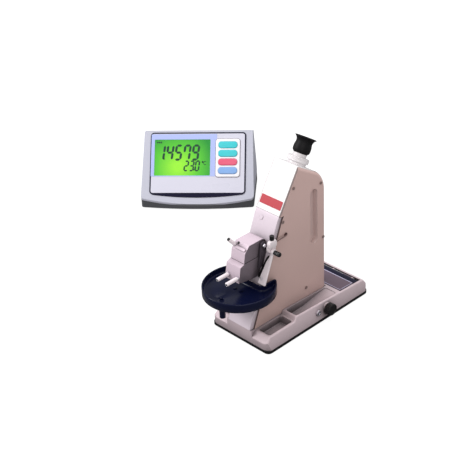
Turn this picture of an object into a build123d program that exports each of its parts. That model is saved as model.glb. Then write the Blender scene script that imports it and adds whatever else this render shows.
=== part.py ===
from build123d import *
from math import atan2, cos, degrees, hypot, radians, sin, sqrt, tan
import os

# Abbe refractometer with a separate display console, both standing on the bench.
# Millimetres. +Z is up and +Y runs from the prisms to the back of the instrument.
# The origin lies on the bench, in the middle of the floor that the set covers.
# Unless a line says otherwise, x is counted from the middle of the instrument,
# y from the front edge of its base and z from the bench.

# Driving dimensions -----------------------------------------------------------

# Where the two pieces stand
unit_x = 221.29
unit_y = -172.067
console_x = -359.5
console_y = 241.2
console_yaw = 41.7

# Clearances
running = 0.05
slip = 0.3
seam = 0.4

# Base casting
base_width = 130.0
base_length = 238.0
side_draft = 0.25
foot_height = 2.0
foot_radius = 8.0
foot_inset = 15.0
plate_thickness = 4.0
plate_inset = 1.0
screw_head_radius = 3.0
screw_head_height = 2.0
screw_shank_radius = 1.6
plate_screw_inset = 29.0
plate_screw_reach = 4.0
thread_radius = 1.5
rim_round = 3.0
tray_round = 1.5
front_wall_top = 18.0
front_slope = 9.5
rim_front = 28.0
step_front = 66.0
step_back = 70.5
rim_high = 34.5
rim_fall = 0.045
rear_slope = 8.0
rear_wall_top = 17.0
corner_radius = 14.0
cavity_height = 6.0
cavity_wall = 7.0
screw_boss = 5.0

# Trays in the top of the base
tray_inner = 30.5
tray_margin = 10.5
tray_corner = 4.0
front_tray_front = 12.0
front_tray_back = 64.0
front_tray_floor = 16.0
rear_tray_front = 73.0
rear_tray_back = 168.0
rear_tray_floor = 20.0
ramp_start = 105.0
tray_lean = 2.0

# Rear lid and its hinge
lid_gap = 3.9
lid_margin = 17.3
lid_width = 110.0
lid_thickness = 2.6
lid_pin_radius = 1.0
lid_knuckle_radius = 1.7
lid_knuckle_length = 18.0
lid_knuckle_x = 30.0
lid_pin_length = 92.0
lug_width = 4.0
channel_depth = 5.0
channel_width = 5.6
compartment_inset = 6.0
compartment_floor = 14.0

# Tower
tower_half = 27.0
frame_foot = 4.0
frame_foot_width = 14.0
frame_foot_length = 74.0
frame_foot_middle = 50.0
frame_set_back = 13.0
frame_top = 190.0
frame_waist = (92.0, 118.0)
frame_heel = (96.0, 60.0)
frame_toe = 88.0
frame_window = (56.0, 76.0)
frame_window_width = 34.0
frame_window_height = 50.0
cover_wall = 3.0
tower_back = 172.4
foot_gap = 0.3
plinth_top = 29.0
plinth_edge = 27.3
panel_foot_y = -1.0
sight_lean = 31.4
sight_y = 135.4
sight_z = 259.1
sight_setback = 26.0
upper_slope_length = 90.0
seam_down = 82.0
top_length = 43.2
back_arc = 45.0
back_round = 6.0
panel_reveal = 8.0
panel_half = 23.9
panel_sheet = 2.0
panel_flange = 16.0
grip_y = 145.5
grip_z = 172.5
grip_length = 97.0
grip_width = 16.0
grip_depth = 9.0
grip_wall = 3.0
cover_screw_radius = 2.4
cover_screw_shank = 1.25
cover_screw_head = 1.2
band_width = 44.0
band_height = 14.0
band_above_seam = 16.4
band_thickness = 0.6
plug_radius = 3.5
plug_x = -8.0
plug_z = 193.0

# Optics and the mirror drive
mirror_z = 142.0
mirror_width = 18.0
mirror_length = 24.0
mirror_thickness = 2.0
mirror_shaft_radius = 4.0
journal_radius = 2.5
gear_module = 1.0
pinion_teeth = 12
sector_teeth = 274
sector_cut_teeth = 14
tooth_half_pitch = 0.62
tooth_half_tip = 0.3
tooth_half_root = 0.95
addendum = 0.85
dedendum = 1.25
sector_rim = 10.0
sector_thickness = 3.0
sector_x = 10.5
sector_hub = 8.0
sector_spoke = 9.0
sector_spokes = ((-4.5, 0.6), (0.0, 0.8), (4.5, 0.6))
sector_slot_middle = 121.5
sector_slot_width = 8.0
sector_slot_length = 55.0
pinion_width = 6.0
shaft_radius = 3.0
shaft_start = 2.2
shaft_y = 138.5
encoder_radius = 8.0
encoder_thickness = 0.8
encoder_setback = 1.2
encoder_marks = 24
encoder_mark = 1.6
encoder_board_width = 17.0
encoder_board_height = 18.0
encoder_board_start = 0.15
encoder_board_thickness = 1.4
tube_radius = 11.0
tube_wall = 1.5
tube_start = 40.0
sleeve_wall = 3.0
sleeve_start = 50.0
sleeve_end = 112.0
spine_x = -18.0
spine_thickness = 5.0
neck_half = 11.0
neck_bottom = 120.0
neck_top = 145.5
light_bore = 3.0
light_drop = 0.5
flange_front = 3.0
flange_back = 8.0
flange_reach = 14.0

# Eyepiece, heights above the top of the tower along the line of sight
socket_flange = 14.5
socket_flange_height = 4.2
ring_radius = 17.5
ring_top = 12.5
ring_recess = 8.6
barrel_radius = 8.0
barrel_wall = 1.5
barrel_bottom = -6.0
barrel_top = 30.0
collar_radius = 11.0
collar_bottom = 10.2
collar_top = 18.2
thread_depth = 1.0
collar_room = 1.2
eyecup_bulge = 13.8
eyecup_bulge_height = 21.7
eyecup_neck = 13.0
eyecup_neck_height = 35.9
eyecup_rim = 17.5
eyecup_top = 44.4
eyecup_lip = 1.0
eyecup_wall = 2.2

# Measuring knob
knob_radius = 10.0
knob_length = 10.0
knob_gap = 0.4
knob_flutes = 20
knob_flute_radius = 0.9
knob_flute_out = 0.3
knob_dish = 0.8
knob_dish_rim = 2.0
knob_web = 3.0
bush_radius = 5.0
bush_flange = 7.0
bush_flange_thickness = 1.3
boss_setback = 3.5
boss_radius = 8.0

# Connector beside the knob
connector_y = 117.5
connector_z = 19.4
connector_radius = 5.0
connector_setback = 2.2
connector_flange = 3.6
connector_bore = 2.5
connector_depth = 5.5

# Prism boxes
box_half = 15.0
lid_half = 14.5
prism_seam = 146.0
box_gap = 0.3
pin_y = 41.5
pin_z = 163.5
pin_radius = 2.5
pin_reach = 19.5
pin_head_radius = 3.2
ear_thickness = 3.3
ear_radius = 6.0
lid_knuckle = 9.5
prism_half = 8.0
prism_front = 12.0
prism_back = 32.0
prism_depth = 16.0
upper_prism_height = 11.6
nipple_radius = 2.6
nipple_bore = 1.6
nipple_length = 25.0
nipple_root = 5.0
nipple_chamfer = 0.4
nipple_thread = 2.2
nipple_collar = 3.4
nipple_collar_length = 2.8
lower_nipple_z = 125.0
lower_nipple_face = -8.2
lower_nipple_left = -8.7
lower_nipple_right = 11.0
upper_nipple_x = -11.6
upper_nipple_angle = 48.0
upper_nipple_length = 19.5
sensor_x = -6.5
sensor_up = 4.4
sensor_radius = 1.9
sensor_depth = 6.0
grip_bar_x = 2.5
grip_bar_down = 2.4
grip_bar_length = 20.0
grip_bar_width = 4.4
grip_bar_height = 2.2
grip_bar_round = 1.0
neck_gap = 0.45
box_bottom = 112.8
box_brow = (2.7, 5.6, 3.0)
box_chin = (10.2, 117.3)
box_keel = 17.5
ear_drop = 8.0
chamfer_low = (5.6, 162.8)
chamfer_high = (15.1, 173.0)
lid_heel = (46.0, 152.0)
lid_toe = 43.0

# Drip dish and its bracket
dish_y = 4.0
dish_radius = 58.2
dish_wall = 2.5
dish_rim = 103.8
dish_skirt = 89.0
dish_floor = 92.0
notch_half = 29.5
notch_front = 22.0
notch_corner = 6.0
horn_round = 3.0
spout_y = -33.5
spout_radius = 4.8
spout_bore = 2.8
spout_bottom = 61.0
bracket_half = 12.0
bracket_arm_top = 88.4
bracket_arm_bottom = 83.0
bracket_plate_bottom = 66.0
bracket_plate = 4.0
bracket_front = -10.0
bracket_thread = 4.0

# Lamp
lamp_y = 50.0
lamp_z = 153.0
lamp_bracket_end = 32.0
lamp_hub_radius = 5.0
lamp_hub_end = 33.0
lamp_pin_radius = 2.0
lamp_arm_lean = 28.4
lamp_arm_length = 54.0
lamp_arm_thickness = 5.0
lamp_top_half = 3.2
lamp_foot_half = 7.8
lamp_x = 29.4
lamp_knob_radius = 3.8
lamp_knob_length = 11.0
lock_knob_radius = 3.6
lock_knob_bottom = 173.0
lock_knob_top = 181.0
lead_radius = 0.9
lead_x = 30.2
grommet_y = 80.8
grommet_z = 169.1
grommet_radius = 3.0
grommet_thickness = 1.2
lead_end = 57.6
lead_end_z = 168.0
lead_bend = 2.6
lamp_bracket_gap = 0.1
lamp_bracket_slot = 4.4
lamp_bracket_plate = 5.0
lamp_bracket_front = 9.0
lamp_bracket_back = 7.5
lamp_bracket_low = 7.0
lamp_bracket_shoulder = 18.0
lamp_bracket_foot = 3.5
lamp_bracket_sole = 4.5
lamp_hub_start = 28.2
lamp_arm_neck = 1.2
lamp_arm_neck_drop = 8.0
lamp_arm_shoulder = 4.2
lamp_arm_shoulder_drop = 18.0
lamp_lens_radius = 3.0
lamp_lens_depth = 3.0
lamp_lens_proud = 1.0
lamp_lens_across = 2.0
lamp_lens_up = 9.0
lamp_pin_start = 24.5
lamp_pin_reach = 8.0
lamp_knob_flutes = 12
lamp_knob_flute_radius = 0.6
lamp_knob_flute_out = 0.25
lock_knob_across = 4.0
lock_screw_radius = 1.5
lock_screw_length = 5.0

# Display console
console_width = 215.0
console_top_width = 208.0
console_bow = 8.0
console_lean = 42.0
console_face = 130.0
console_edge = 22.0
console_rear_top = 17.0
console_rear_foot = 31.0
console_wall = 2.5
console_foot = 2.5
console_foot_radius = 6.0
console_foot_inset = 18.0
console_corner = 6.0
panel_width = 178.0
panel_height = 116.0
panel_up = 68.0
panel_thickness = 1.2
lcd_width = 107.0
lcd_height = 71.0
lcd_across = -30.0
lcd_up = 79.0
lcd_thickness = 2.0
keypad_width = 46.0
keypad_height = 75.0
keypad_across = 57.0
keypad_up = 78.0
keypad_thickness = 1.6
key_width = 36.0
key_height = 13.0
key_pitch = 16.8
key_count = 4
key_rise = 1.4
key_travel = 0.8
key_gap = 0.35
key_corner = 5.5
key_chamfer = 0.5
key_clearance = 0.2
board_depth = 8.0
board_thickness = 1.6

# Worked out from the driving dimensions ---------------------------------------

os.makedirs("parts", exist_ok=True)
casting_bottom = foot_height + plate_thickness
tray_outer = base_width / 2 - tray_margin
boss_face = base_width / 2 - boss_setback
connector_face = base_width / 2 - connector_setback
connector_seat = connector_face - connector_flange
tower_foot = plinth_top + foot_gap
lid_front = tower_back + lid_gap
lid_length = base_length - lid_front - lid_margin
lid_back = lid_front + lid_length
lean_sin = sin(radians(sight_lean))
lean_cos = cos(radians(sight_lean))


def level(height):
    """Horizontal plane over the instrument: local x across, local y to the back."""
    return Plane((unit_x, unit_y, height))


def side(across):
    """Upright plane along the instrument, seen from its right: local x is y, local y is z."""
    return Plane((unit_x + across, unit_y, 0), x_dir=(0, 1, 0), z_dir=(1, 0, 0))


def front(back):
    """Upright plane across the instrument, facing forward: local x is x, local y is z."""
    return Plane((unit_x, unit_y + back, 0), x_dir=(1, 0, 0), z_dir=(0, -1, 0))


def spot(across, back, height):
    """A point of the instrument in the frame of the whole set."""
    return (unit_x + across, unit_y + back, height)


def wall_x(height):
    """Half width of the drafted side walls."""
    return base_width / 2 - side_draft * height


def rim(back):
    """Height of the base's top face behind the step."""
    return rim_high - rim_fall * (back - step_back)


def sighted(up, back, start=(sight_y, sight_z)):
    """A point of the side view, moved along the line of sight and square to it."""
    return (
        start[0] + up * lean_sin + back * lean_cos,
        start[1] + up * lean_cos - back * lean_sin,
    )


def sight(height):
    """Plane square to the line of sight, at a height above the tower's top."""
    y, z = sighted(height, 0)
    return Plane(spot(0, y, z), x_dir=(1, 0, 0), z_dir=(0, lean_sin, lean_cos))


def polar(centre, radius, angle):
    """A point of the side view at a radius and an angle from a centre."""
    return (
        centre[0] + radius * cos(radians(angle)),
        centre[1] + radius * sin(radians(angle)),
    )


# Corners of the tower's side view
brow = sighted(0, -sight_setback)
panel_top = sighted(-upper_slope_length, 0, brow)
cover_seam = sighted(-seam_down, 0, brow)
top_end = sighted(0, top_length, brow)
back_corner = sighted(0, (tower_back - brow[0]) / lean_cos, brow)
panel_lean = (panel_top[0] - panel_foot_y) / (panel_top[1] - plinth_top)
panel_square = 1 / cos(atan2(panel_lean, 1))


def panel_y(height, gap=0.0):
    """The front panel's face at a height, or a line that lies a gap outside it."""
    return panel_foot_y + (height - plinth_top) * panel_lean - gap * panel_square


# The mirror stands where the level light path meets the line of sight.
mirror_y = sight_y - (sight_z - mirror_z) * lean_sin / lean_cos
mirror_axis = (mirror_y, mirror_z)
mirror_slant = (90 - sight_lean) / 2
mirror_drop = hypot(sight_y - mirror_y, sight_z - mirror_z)
gear_distance = gear_module * (pinion_teeth + sector_teeth) / 2
shaft_z = mirror_z - sqrt(gear_distance**2 - (shaft_y - mirror_y) ** 2)
gear_line = degrees(atan2(shaft_z - mirror_z, shaft_y - mirror_y))
sector_pitch = 360 / sector_teeth
pinion_pitch = 360 / pinion_teeth
sector_radius = gear_module * sector_teeth / 2
pinion_radius = gear_module * pinion_teeth / 2


def tooth(centre, radius, angle, outward=1):
    """One straight-flanked tooth in the side view, on a wheel of the given pitch radius."""
    corners = (
        (radius - dedendum - 0.2, tooth_half_root),
        (radius, tooth_half_pitch),
        (radius + addendum, tooth_half_tip),
    )
    left = [polar(centre, r, angle + degrees(half / r)) for r, half in corners]
    right = [polar(centre, r, angle - degrees(half / r)) for r, half in corners]
    return left + right[::-1]


def finish(piece, name):
    """Name a finished piece and write it to its file."""
    piece.part.label = name
    export_step(piece.part, f"parts/{name}.step")


def turned(plane, *steps):
    """A turned piece: each step has a start, an end and a radius along the plane's axis."""
    with BuildPart() as piece:
        for start, end, radius in steps:
            with BuildSketch(plane.offset(start)):
                Circle(radius)
            extrude(amount=end - start)
    return piece


# Base --------------------------------------------------------------------------

# The encoder stands between the middle of the base and the sector's slot.
encoder_room = sector_x + sector_thickness / 2 - sector_slot_width / 2

foot_spots = [
    (across * (base_width / 2 - foot_inset), back)
    for across in (-1, 1)
    for back in (foot_inset, base_length - foot_inset)
]
plate_screw_spots = [
    (across * (base_width / 2 - foot_inset), back)
    for across in (-1, 1)
    for back in (plate_screw_inset, base_length / 2, base_length - plate_screw_inset)
]

with BuildPart() as bottom_plate:
    with BuildSketch(level(foot_height)):
        with Locations((0, base_length / 2)):
            RectangleRounded(
                base_width - 2 * plate_inset, base_length - 2 * plate_inset, corner_radius
            )
        with Locations(*plate_screw_spots):
            Circle(screw_shank_radius, mode=Mode.SUBTRACT)
    extrude(amount=plate_thickness)
    with BuildSketch(level(foot_height)):
        with Locations(*plate_screw_spots):
            Circle(screw_head_radius + running)
    extrude(amount=screw_head_height, mode=Mode.SUBTRACT)
finish(bottom_plate, "bottom_plate")

with BuildPart() as bottom_screws:
    with BuildSketch(level(foot_height)):
        with Locations(*plate_screw_spots):
            Circle(screw_head_radius)
    extrude(amount=screw_head_height)
    with BuildSketch(level(foot_height + screw_head_height)):
        with Locations(*plate_screw_spots):
            Circle(thread_radius)
    extrude(amount=plate_thickness - screw_head_height + plate_screw_reach)
finish(bottom_screws, "bottom_screws")

# The space of one front tray and one rear tray, taken out of both sides of the casting.
tray_width = tray_outer - tray_inner
tray_middle = (tray_outer + tray_inner) / 2

with BuildPart() as front_tray:
    with BuildSketch(level(front_tray_floor)):
        with Locations((tray_middle, (front_tray_front + front_tray_back) / 2)):
            RectangleRounded(tray_width, front_tray_back - front_tray_front, tray_corner)
    extrude(amount=rim_high)
    with BuildSketch(side(tray_inner)):
        Polygon(
            (front_tray_front, rim_high + front_tray_floor),
            (front_tray_front, rim_front),
            (front_tray_front + tray_lean, front_tray_floor),
            (front_tray_back - tray_lean, front_tray_floor),
            (front_tray_back, rim_front),
            (front_tray_back, rim_high + front_tray_floor),
            align=None,
        )
    extrude(amount=tray_width, mode=Mode.INTERSECT)
    fillet(front_tray.edges().group_by(Axis.Z)[0], tray_round)

with BuildPart() as rear_tray:
    with BuildSketch(level(rear_tray_floor)):
        with Locations((tray_middle, (rear_tray_front + rear_tray_back) / 2)):
            RectangleRounded(tray_width, rear_tray_back - rear_tray_front, tray_corner)
    extrude(amount=rim_high)
    with BuildSketch(side(tray_inner)):
        Polygon(
            (rear_tray_front, rim_high + rear_tray_floor),
            (rear_tray_front, rim_high),
            (rear_tray_front + tray_lean, rear_tray_floor),
            (ramp_start, rear_tray_floor),
            (rear_tray_back, rim(rear_tray_back) - 0.6),
            (rear_tray_back, rim_high + rear_tray_floor),
            align=None,
        )
    extrude(amount=tray_width, mode=Mode.INTERSECT)
    floor_edges = rear_tray.edges().group_by(Axis.Z)[0]
    fillet(
        floor_edges.filter_by(lambda edge: edge.center().Y - unit_y < ramp_start - 1), tray_round
    )

lid_pin_y = lid_front + lid_length + lid_knuckle_radius
lid_pin_z = rim(lid_pin_y) - lid_knuckle_radius + 0.1
lug_x = lid_knuckle_x + lid_knuckle_length / 2 + slip

with BuildPart() as base_casting:
    # Side view, front view and plan of the block
    with BuildSketch(side(0)):
        Polygon(
            (0, casting_bottom),
            (0, front_wall_top),
            (front_slope, rim_front),
            (step_front, rim_front),
            (step_back, rim_high),
            (base_length - rear_slope, rim(base_length - rear_slope)),
            (base_length, rear_wall_top),
            (base_length, casting_bottom),
            align=None,
        )
    extrude(amount=base_width / 2, both=True)
    with BuildSketch(front(0)):
        Polygon(
            (-wall_x(casting_bottom), casting_bottom),
            (wall_x(casting_bottom), casting_bottom),
            (wall_x(rim_high), rim_high),
            (-wall_x(rim_high), rim_high),
            align=None,
        )
    extrude(amount=-base_length, mode=Mode.INTERSECT)
    with BuildSketch(level(casting_bottom)):
        with Locations((0, base_length / 2)):
            RectangleRounded(base_width, base_length, corner_radius)
    extrude(amount=rim_high, mode=Mode.INTERSECT)
    top_edges = base_casting.edges().filter_by(lambda edge: edge.center().Z > rear_wall_top - 1)
    fillet(top_edges, rim_round)
    # Plinth and seat of the tower
    with BuildSketch(level(plinth_top)):
        with Locations((0, tower_back / 2 + slip)):
            Rectangle(2 * plinth_edge, tower_back)
    extrude(amount=rim_high, mode=Mode.SUBTRACT)
    with BuildSketch(level(casting_bottom)):
        with Locations((0, step_back / 2)):
            Rectangle(2 * plinth_edge, step_back)
    extrude(amount=plinth_top - casting_bottom)
    # Trays on both sides
    add(front_tray.part, mode=Mode.SUBTRACT)
    add(rear_tray.part, mode=Mode.SUBTRACT)
    add(front_tray.part.mirror(side(0)), mode=Mode.SUBTRACT)
    add(rear_tray.part.mirror(side(0)), mode=Mode.SUBTRACT)
    # Recess, compartment and hinge channel of the rear lid
    with BuildSketch(side(-lid_width / 2 - slip)):
        Polygon(
            (lid_front - slip, rim_high),
            (lid_front - slip, rim(lid_front) - lid_thickness - slip),
            (lid_back, rim(lid_back) - lid_thickness - slip),
            (lid_back, rim(lid_back) - channel_depth),
            (lid_back + channel_width, rim(lid_back) - channel_depth),
            (lid_back + channel_width, rim_high),
            align=None,
        )
    extrude(amount=lid_width + 2 * slip, mode=Mode.SUBTRACT)
    with BuildSketch(level(compartment_floor)):
        with Locations((0, lid_front + lid_length / 2)):
            RectangleRounded(
                lid_width - 2 * compartment_inset, lid_length - 2 * compartment_inset, tray_corner
            )
    extrude(amount=rim_high, mode=Mode.SUBTRACT)
    for across in (-lug_x - lug_width, -lug_width / 2, lug_x):
        with BuildSketch(side(across)):
            with Locations((lid_pin_y, lid_pin_z)):
                Circle(lid_knuckle_radius)
            Polygon(
                (lid_pin_y - lid_knuckle_radius, lid_pin_z),
                (lid_pin_y + lid_knuckle_radius, lid_pin_z),
                (lid_pin_y + lid_knuckle_radius, rim(lid_back) - channel_depth),
                (lid_pin_y - lid_knuckle_radius, rim(lid_back) - channel_depth),
                align=None,
            )
            with Locations((lid_pin_y, lid_pin_z)):
                Circle(lid_pin_radius, mode=Mode.SUBTRACT)
        extrude(amount=lug_width)
    # Underside, lightened round the screw bosses
    with BuildSketch(level(casting_bottom)):
        with Locations((0, base_length / 2)):
            RectangleRounded(
                base_width - 2 * cavity_wall, base_length - 2 * cavity_wall, corner_radius
            )
        with Locations(*plate_screw_spots):
            Circle(screw_boss, mode=Mode.SUBTRACT)
    extrude(amount=cavity_height, mode=Mode.SUBTRACT)
    with BuildSketch(level(casting_bottom)):
        with Locations(*plate_screw_spots):
            Circle(thread_radius)
    extrude(amount=plate_screw_reach, mode=Mode.SUBTRACT)
    # Slot for the mirror's sector, and the space of the encoder
    with BuildSketch(level(casting_bottom)):
        with Locations((sector_x + sector_thickness / 2, sector_slot_middle)):
            Rectangle(sector_slot_width, sector_slot_length)
        with Locations((encoder_room / 2, shaft_y)):
            Rectangle(encoder_room + slip, 2 * encoder_radius + 3.0)
    extrude(amount=rim_high, mode=Mode.SUBTRACT)
    # Shaft bore, and the seat of its bush
    with BuildSketch(side(sector_x)):
        with Locations((shaft_y, shaft_z)):
            Circle(shaft_radius + running)
    extrude(amount=base_width / 2, mode=Mode.SUBTRACT)
    with BuildSketch(side(tray_outer)):
        with Locations((shaft_y, shaft_z)):
            Circle(boss_radius)
    extrude(amount=boss_face - tray_outer)
    with BuildSketch(side(tray_outer)):
        with Locations((shaft_y, shaft_z)):
            Circle(bush_radius)
    extrude(amount=base_width / 2, mode=Mode.SUBTRACT)
    with BuildSketch(side(boss_face)):
        with Locations((shaft_y, shaft_z)):
            Circle(knob_radius + 1.0)
    extrude(amount=base_width / 2, mode=Mode.SUBTRACT)
    # Seat of the connector
    with BuildSketch(side(tray_outer + 1.0)):
        with Locations((connector_y, connector_z)):
            Circle(connector_radius - 1.0)
    extrude(amount=base_width / 2, mode=Mode.SUBTRACT)
    with BuildSketch(side(connector_seat)):
        with Locations((connector_y, connector_z)):
            Circle(connector_radius + slip)
    extrude(amount=base_width / 2, mode=Mode.SUBTRACT)
finish(base_casting, "base_casting")

with BuildPart() as rear_lid:
    with BuildSketch(side(-lid_width / 2)):
        Polygon(
            (lid_front, rim(lid_front)),
            (lid_back, rim(lid_back)),
            (lid_back, rim(lid_back) - lid_thickness),
            (lid_front, rim(lid_front) - lid_thickness),
            align=None,
        )
    extrude(amount=lid_width)
    for middle in (-lid_knuckle_x, lid_knuckle_x):
        with BuildSketch(side(middle - lid_knuckle_length / 2)):
            with Locations((lid_pin_y, lid_pin_z)):
                Circle(lid_knuckle_radius)
            Polygon(
                (lid_back - 1.0, rim(lid_back)),
                (lid_pin_y, lid_pin_z + lid_knuckle_radius),
                (lid_pin_y, lid_pin_z),
                (lid_back - 1.0, rim(lid_back) - lid_thickness),
                align=None,
            )
            with Locations((lid_pin_y, lid_pin_z)):
                Circle(lid_pin_radius + running, mode=Mode.SUBTRACT)
        extrude(amount=lid_knuckle_length)
finish(rear_lid, "rear_lid")

lid_hinge_axis = Plane(spot(0, lid_pin_y, lid_pin_z), x_dir=(0, 1, 0), z_dir=(1, 0, 0))
lid_hinge_pin = turned(lid_hinge_axis, (-lid_pin_length / 2, lid_pin_length / 2, lid_pin_radius))
finish(lid_hinge_pin, "lid_hinge_pin")

connector_axis = Plane(spot(0, connector_y, connector_z), x_dir=(0, 1, 0), z_dir=(1, 0, 0))
with BuildPart() as connector_socket:
    with BuildSketch(connector_axis.offset(tray_outer + 1.0)):
        Circle(connector_radius - 1.0)
    extrude(amount=connector_seat - tray_outer - 1.0)
    with BuildSketch(connector_axis.offset(connector_seat)):
        Circle(connector_radius)
    extrude(amount=connector_face - connector_seat)
    with BuildSketch(connector_axis.offset(connector_face)):
        Circle(connector_bore)
    extrude(amount=-connector_depth, mode=Mode.SUBTRACT)
    chamfer(connector_socket.edges().filter_by(GeomType.CIRCLE).sort_by(Axis.X)[-1], 0.5)
finish(connector_socket, "connector_socket")

# Measuring knob, its shaft and the encoder that reads it -------------------------

knob_axis = Plane(spot(0, shaft_y, shaft_z), x_dir=(0, 1, 0), z_dir=(1, 0, 0))
bush_face = boss_face + bush_flange_thickness
knob_start = bush_face + knob_gap
knob_end = knob_start + knob_length
knob_seat = knob_end - knob_web

with BuildPart() as shaft_bush:
    with BuildSketch(knob_axis.offset(tray_outer)):
        Circle(bush_radius)
    extrude(amount=boss_face - tray_outer)
    with BuildSketch(knob_axis.offset(boss_face)):
        Circle(bush_flange)
    extrude(amount=bush_flange_thickness)
    with BuildSketch(knob_axis.offset(tray_outer)):
        Circle(shaft_radius + running)
    extrude(amount=bush_face - tray_outer, mode=Mode.SUBTRACT)
finish(shaft_bush, "shaft_bush")

with BuildPart() as measuring_knob:
    with BuildSketch(knob_axis.offset(knob_start)):
        Circle(knob_radius)
        with PolarLocations(knob_radius + knob_flute_out, knob_flutes):
            Circle(knob_flute_radius, mode=Mode.SUBTRACT)
    extrude(amount=knob_length)
    with BuildSketch(knob_axis.offset(knob_end)):
        Circle(knob_radius - knob_dish_rim)
    extrude(amount=-knob_dish, mode=Mode.SUBTRACT)
    with BuildSketch(knob_axis.offset(knob_start)):
        Circle(shaft_radius)
    extrude(amount=knob_seat - knob_start, mode=Mode.SUBTRACT)
finish(measuring_knob, "measuring_knob")

with BuildPart() as pinion_shaft:
    with BuildSketch(knob_axis.offset(shaft_start)):
        Circle(shaft_radius)
    extrude(amount=knob_seat - shaft_start)
    pinion_middle = sector_x + sector_thickness / 2
    with BuildSketch(side(pinion_middle - pinion_width / 2)):
        with Locations((shaft_y, shaft_z)):
            Circle(pinion_radius - dedendum)
        for n in range(pinion_teeth):
            angle = gear_line + 180 + n * pinion_pitch
            Polygon(*tooth((shaft_y, shaft_z), pinion_radius, angle), align=None)
    extrude(amount=pinion_width)
finish(pinion_shaft, "pinion_shaft")

encoder_start = shaft_start + encoder_setback
with BuildPart() as encoder_disc:
    with BuildSketch(knob_axis.offset(encoder_start)):
        Circle(encoder_radius)
        Circle(shaft_radius, mode=Mode.SUBTRACT)
        with PolarLocations(encoder_radius - encoder_mark, encoder_marks):
            Rectangle(encoder_mark, encoder_mark / 2, mode=Mode.SUBTRACT)
    extrude(amount=encoder_thickness)
finish(encoder_disc, "encoder_disc")

with BuildPart() as encoder_board:
    with BuildSketch(side(encoder_board_start)):
        with Locations((shaft_y, casting_bottom + encoder_board_height / 2)):
            Rectangle(encoder_board_width, encoder_board_height)
    extrude(amount=encoder_board_thickness)
finish(encoder_board, "encoder_board")

# Mirror, its shaft and the toothed sector ---------------------------------------

mirror_seat = Plane(
    spot(0, mirror_y, mirror_z),
    x_dir=(1, 0, 0),
    z_dir=(0, -sin(radians(mirror_slant)), cos(radians(mirror_slant))),
)
with BuildPart() as mirror:
    with BuildSketch(mirror_seat.offset(-mirror_thickness)):
        Rectangle(mirror_width, mirror_length)
    extrude(amount=mirror_thickness)
finish(mirror, "mirror")

mirror_pivot = Plane(spot(0, mirror_y, mirror_z), x_dir=(0, 1, 0), z_dir=(1, 0, 0))
mirror_shaft_end = sector_x + sector_thickness + 0.8
with BuildPart() as mirror_shaft:
    with BuildSketch(mirror_pivot.offset(-mirror_width / 2 - 0.6)):
        Circle(mirror_shaft_radius)
    extrude(amount=mirror_shaft_end + mirror_width / 2 + 0.6)
    with BuildSketch(mirror_pivot.offset(spine_x - 0.5)):
        Circle(journal_radius)
    extrude(amount=-spine_x - mirror_width / 2)
    with BuildSketch(mirror_seat.offset(-mirror_thickness)):
        Rectangle(mirror_width, mirror_length)
    extrude(amount=mirror_shaft_radius + mirror_thickness, mode=Mode.SUBTRACT)
finish(mirror_shaft, "mirror_shaft")

sector_half_span = sector_pitch * (sector_cut_teeth / 2 + 0.2)
with BuildPart() as sector_arm:
    with BuildSketch(side(sector_x)):
        with Locations(mirror_axis):
            Circle(sector_radius - dedendum)
            Circle(sector_radius - dedendum - sector_rim, mode=Mode.SUBTRACT)
        Polygon(
            mirror_axis,
            polar(mirror_axis, 2 * sector_radius, gear_line - sector_half_span),
            polar(mirror_axis, 2 * sector_radius, gear_line + sector_half_span),
            align=None,
            mode=Mode.INTERSECT,
        )
        for n in range(sector_cut_teeth):
            angle = gear_line + (n - sector_cut_teeth / 2 + 0.5) * sector_pitch
            Polygon(*tooth(mirror_axis, sector_radius, angle), align=None)
        rim_radius = sector_radius - dedendum - sector_rim + 1.0
        for spoke_angle, width in sector_spokes:
            foot = polar(mirror_axis, rim_radius, gear_line + spoke_angle)
            across = gear_line + 90
            Polygon(
                polar(mirror_axis, sector_spoke * width, across),
                polar(foot, sector_spoke / 2 * width, across),
                polar(foot, -sector_spoke / 2 * width, across),
                polar(mirror_axis, -sector_spoke * width, across),
                align=None,
            )
        with Locations(mirror_axis):
            Circle(sector_hub)
            Circle(mirror_shaft_radius, mode=Mode.SUBTRACT)
    extrude(amount=sector_thickness)
finish(sector_arm, "sector_arm")

# Tower frame and telescope -------------------------------------------------------

frame_screw_spots = [
    (spine_x + spine_thickness + frame_foot, frame_foot_middle + back) for back in (-28.0, 28.0)
]
dish_screw_spots = [(-bracket_half / 2, 0.0), (bracket_half / 2, 0.0)]


def behind_panel(height, depth):
    """A point of the side view that lies a level distance behind the panel's face."""
    return (panel_y(height) + depth, height)


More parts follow.
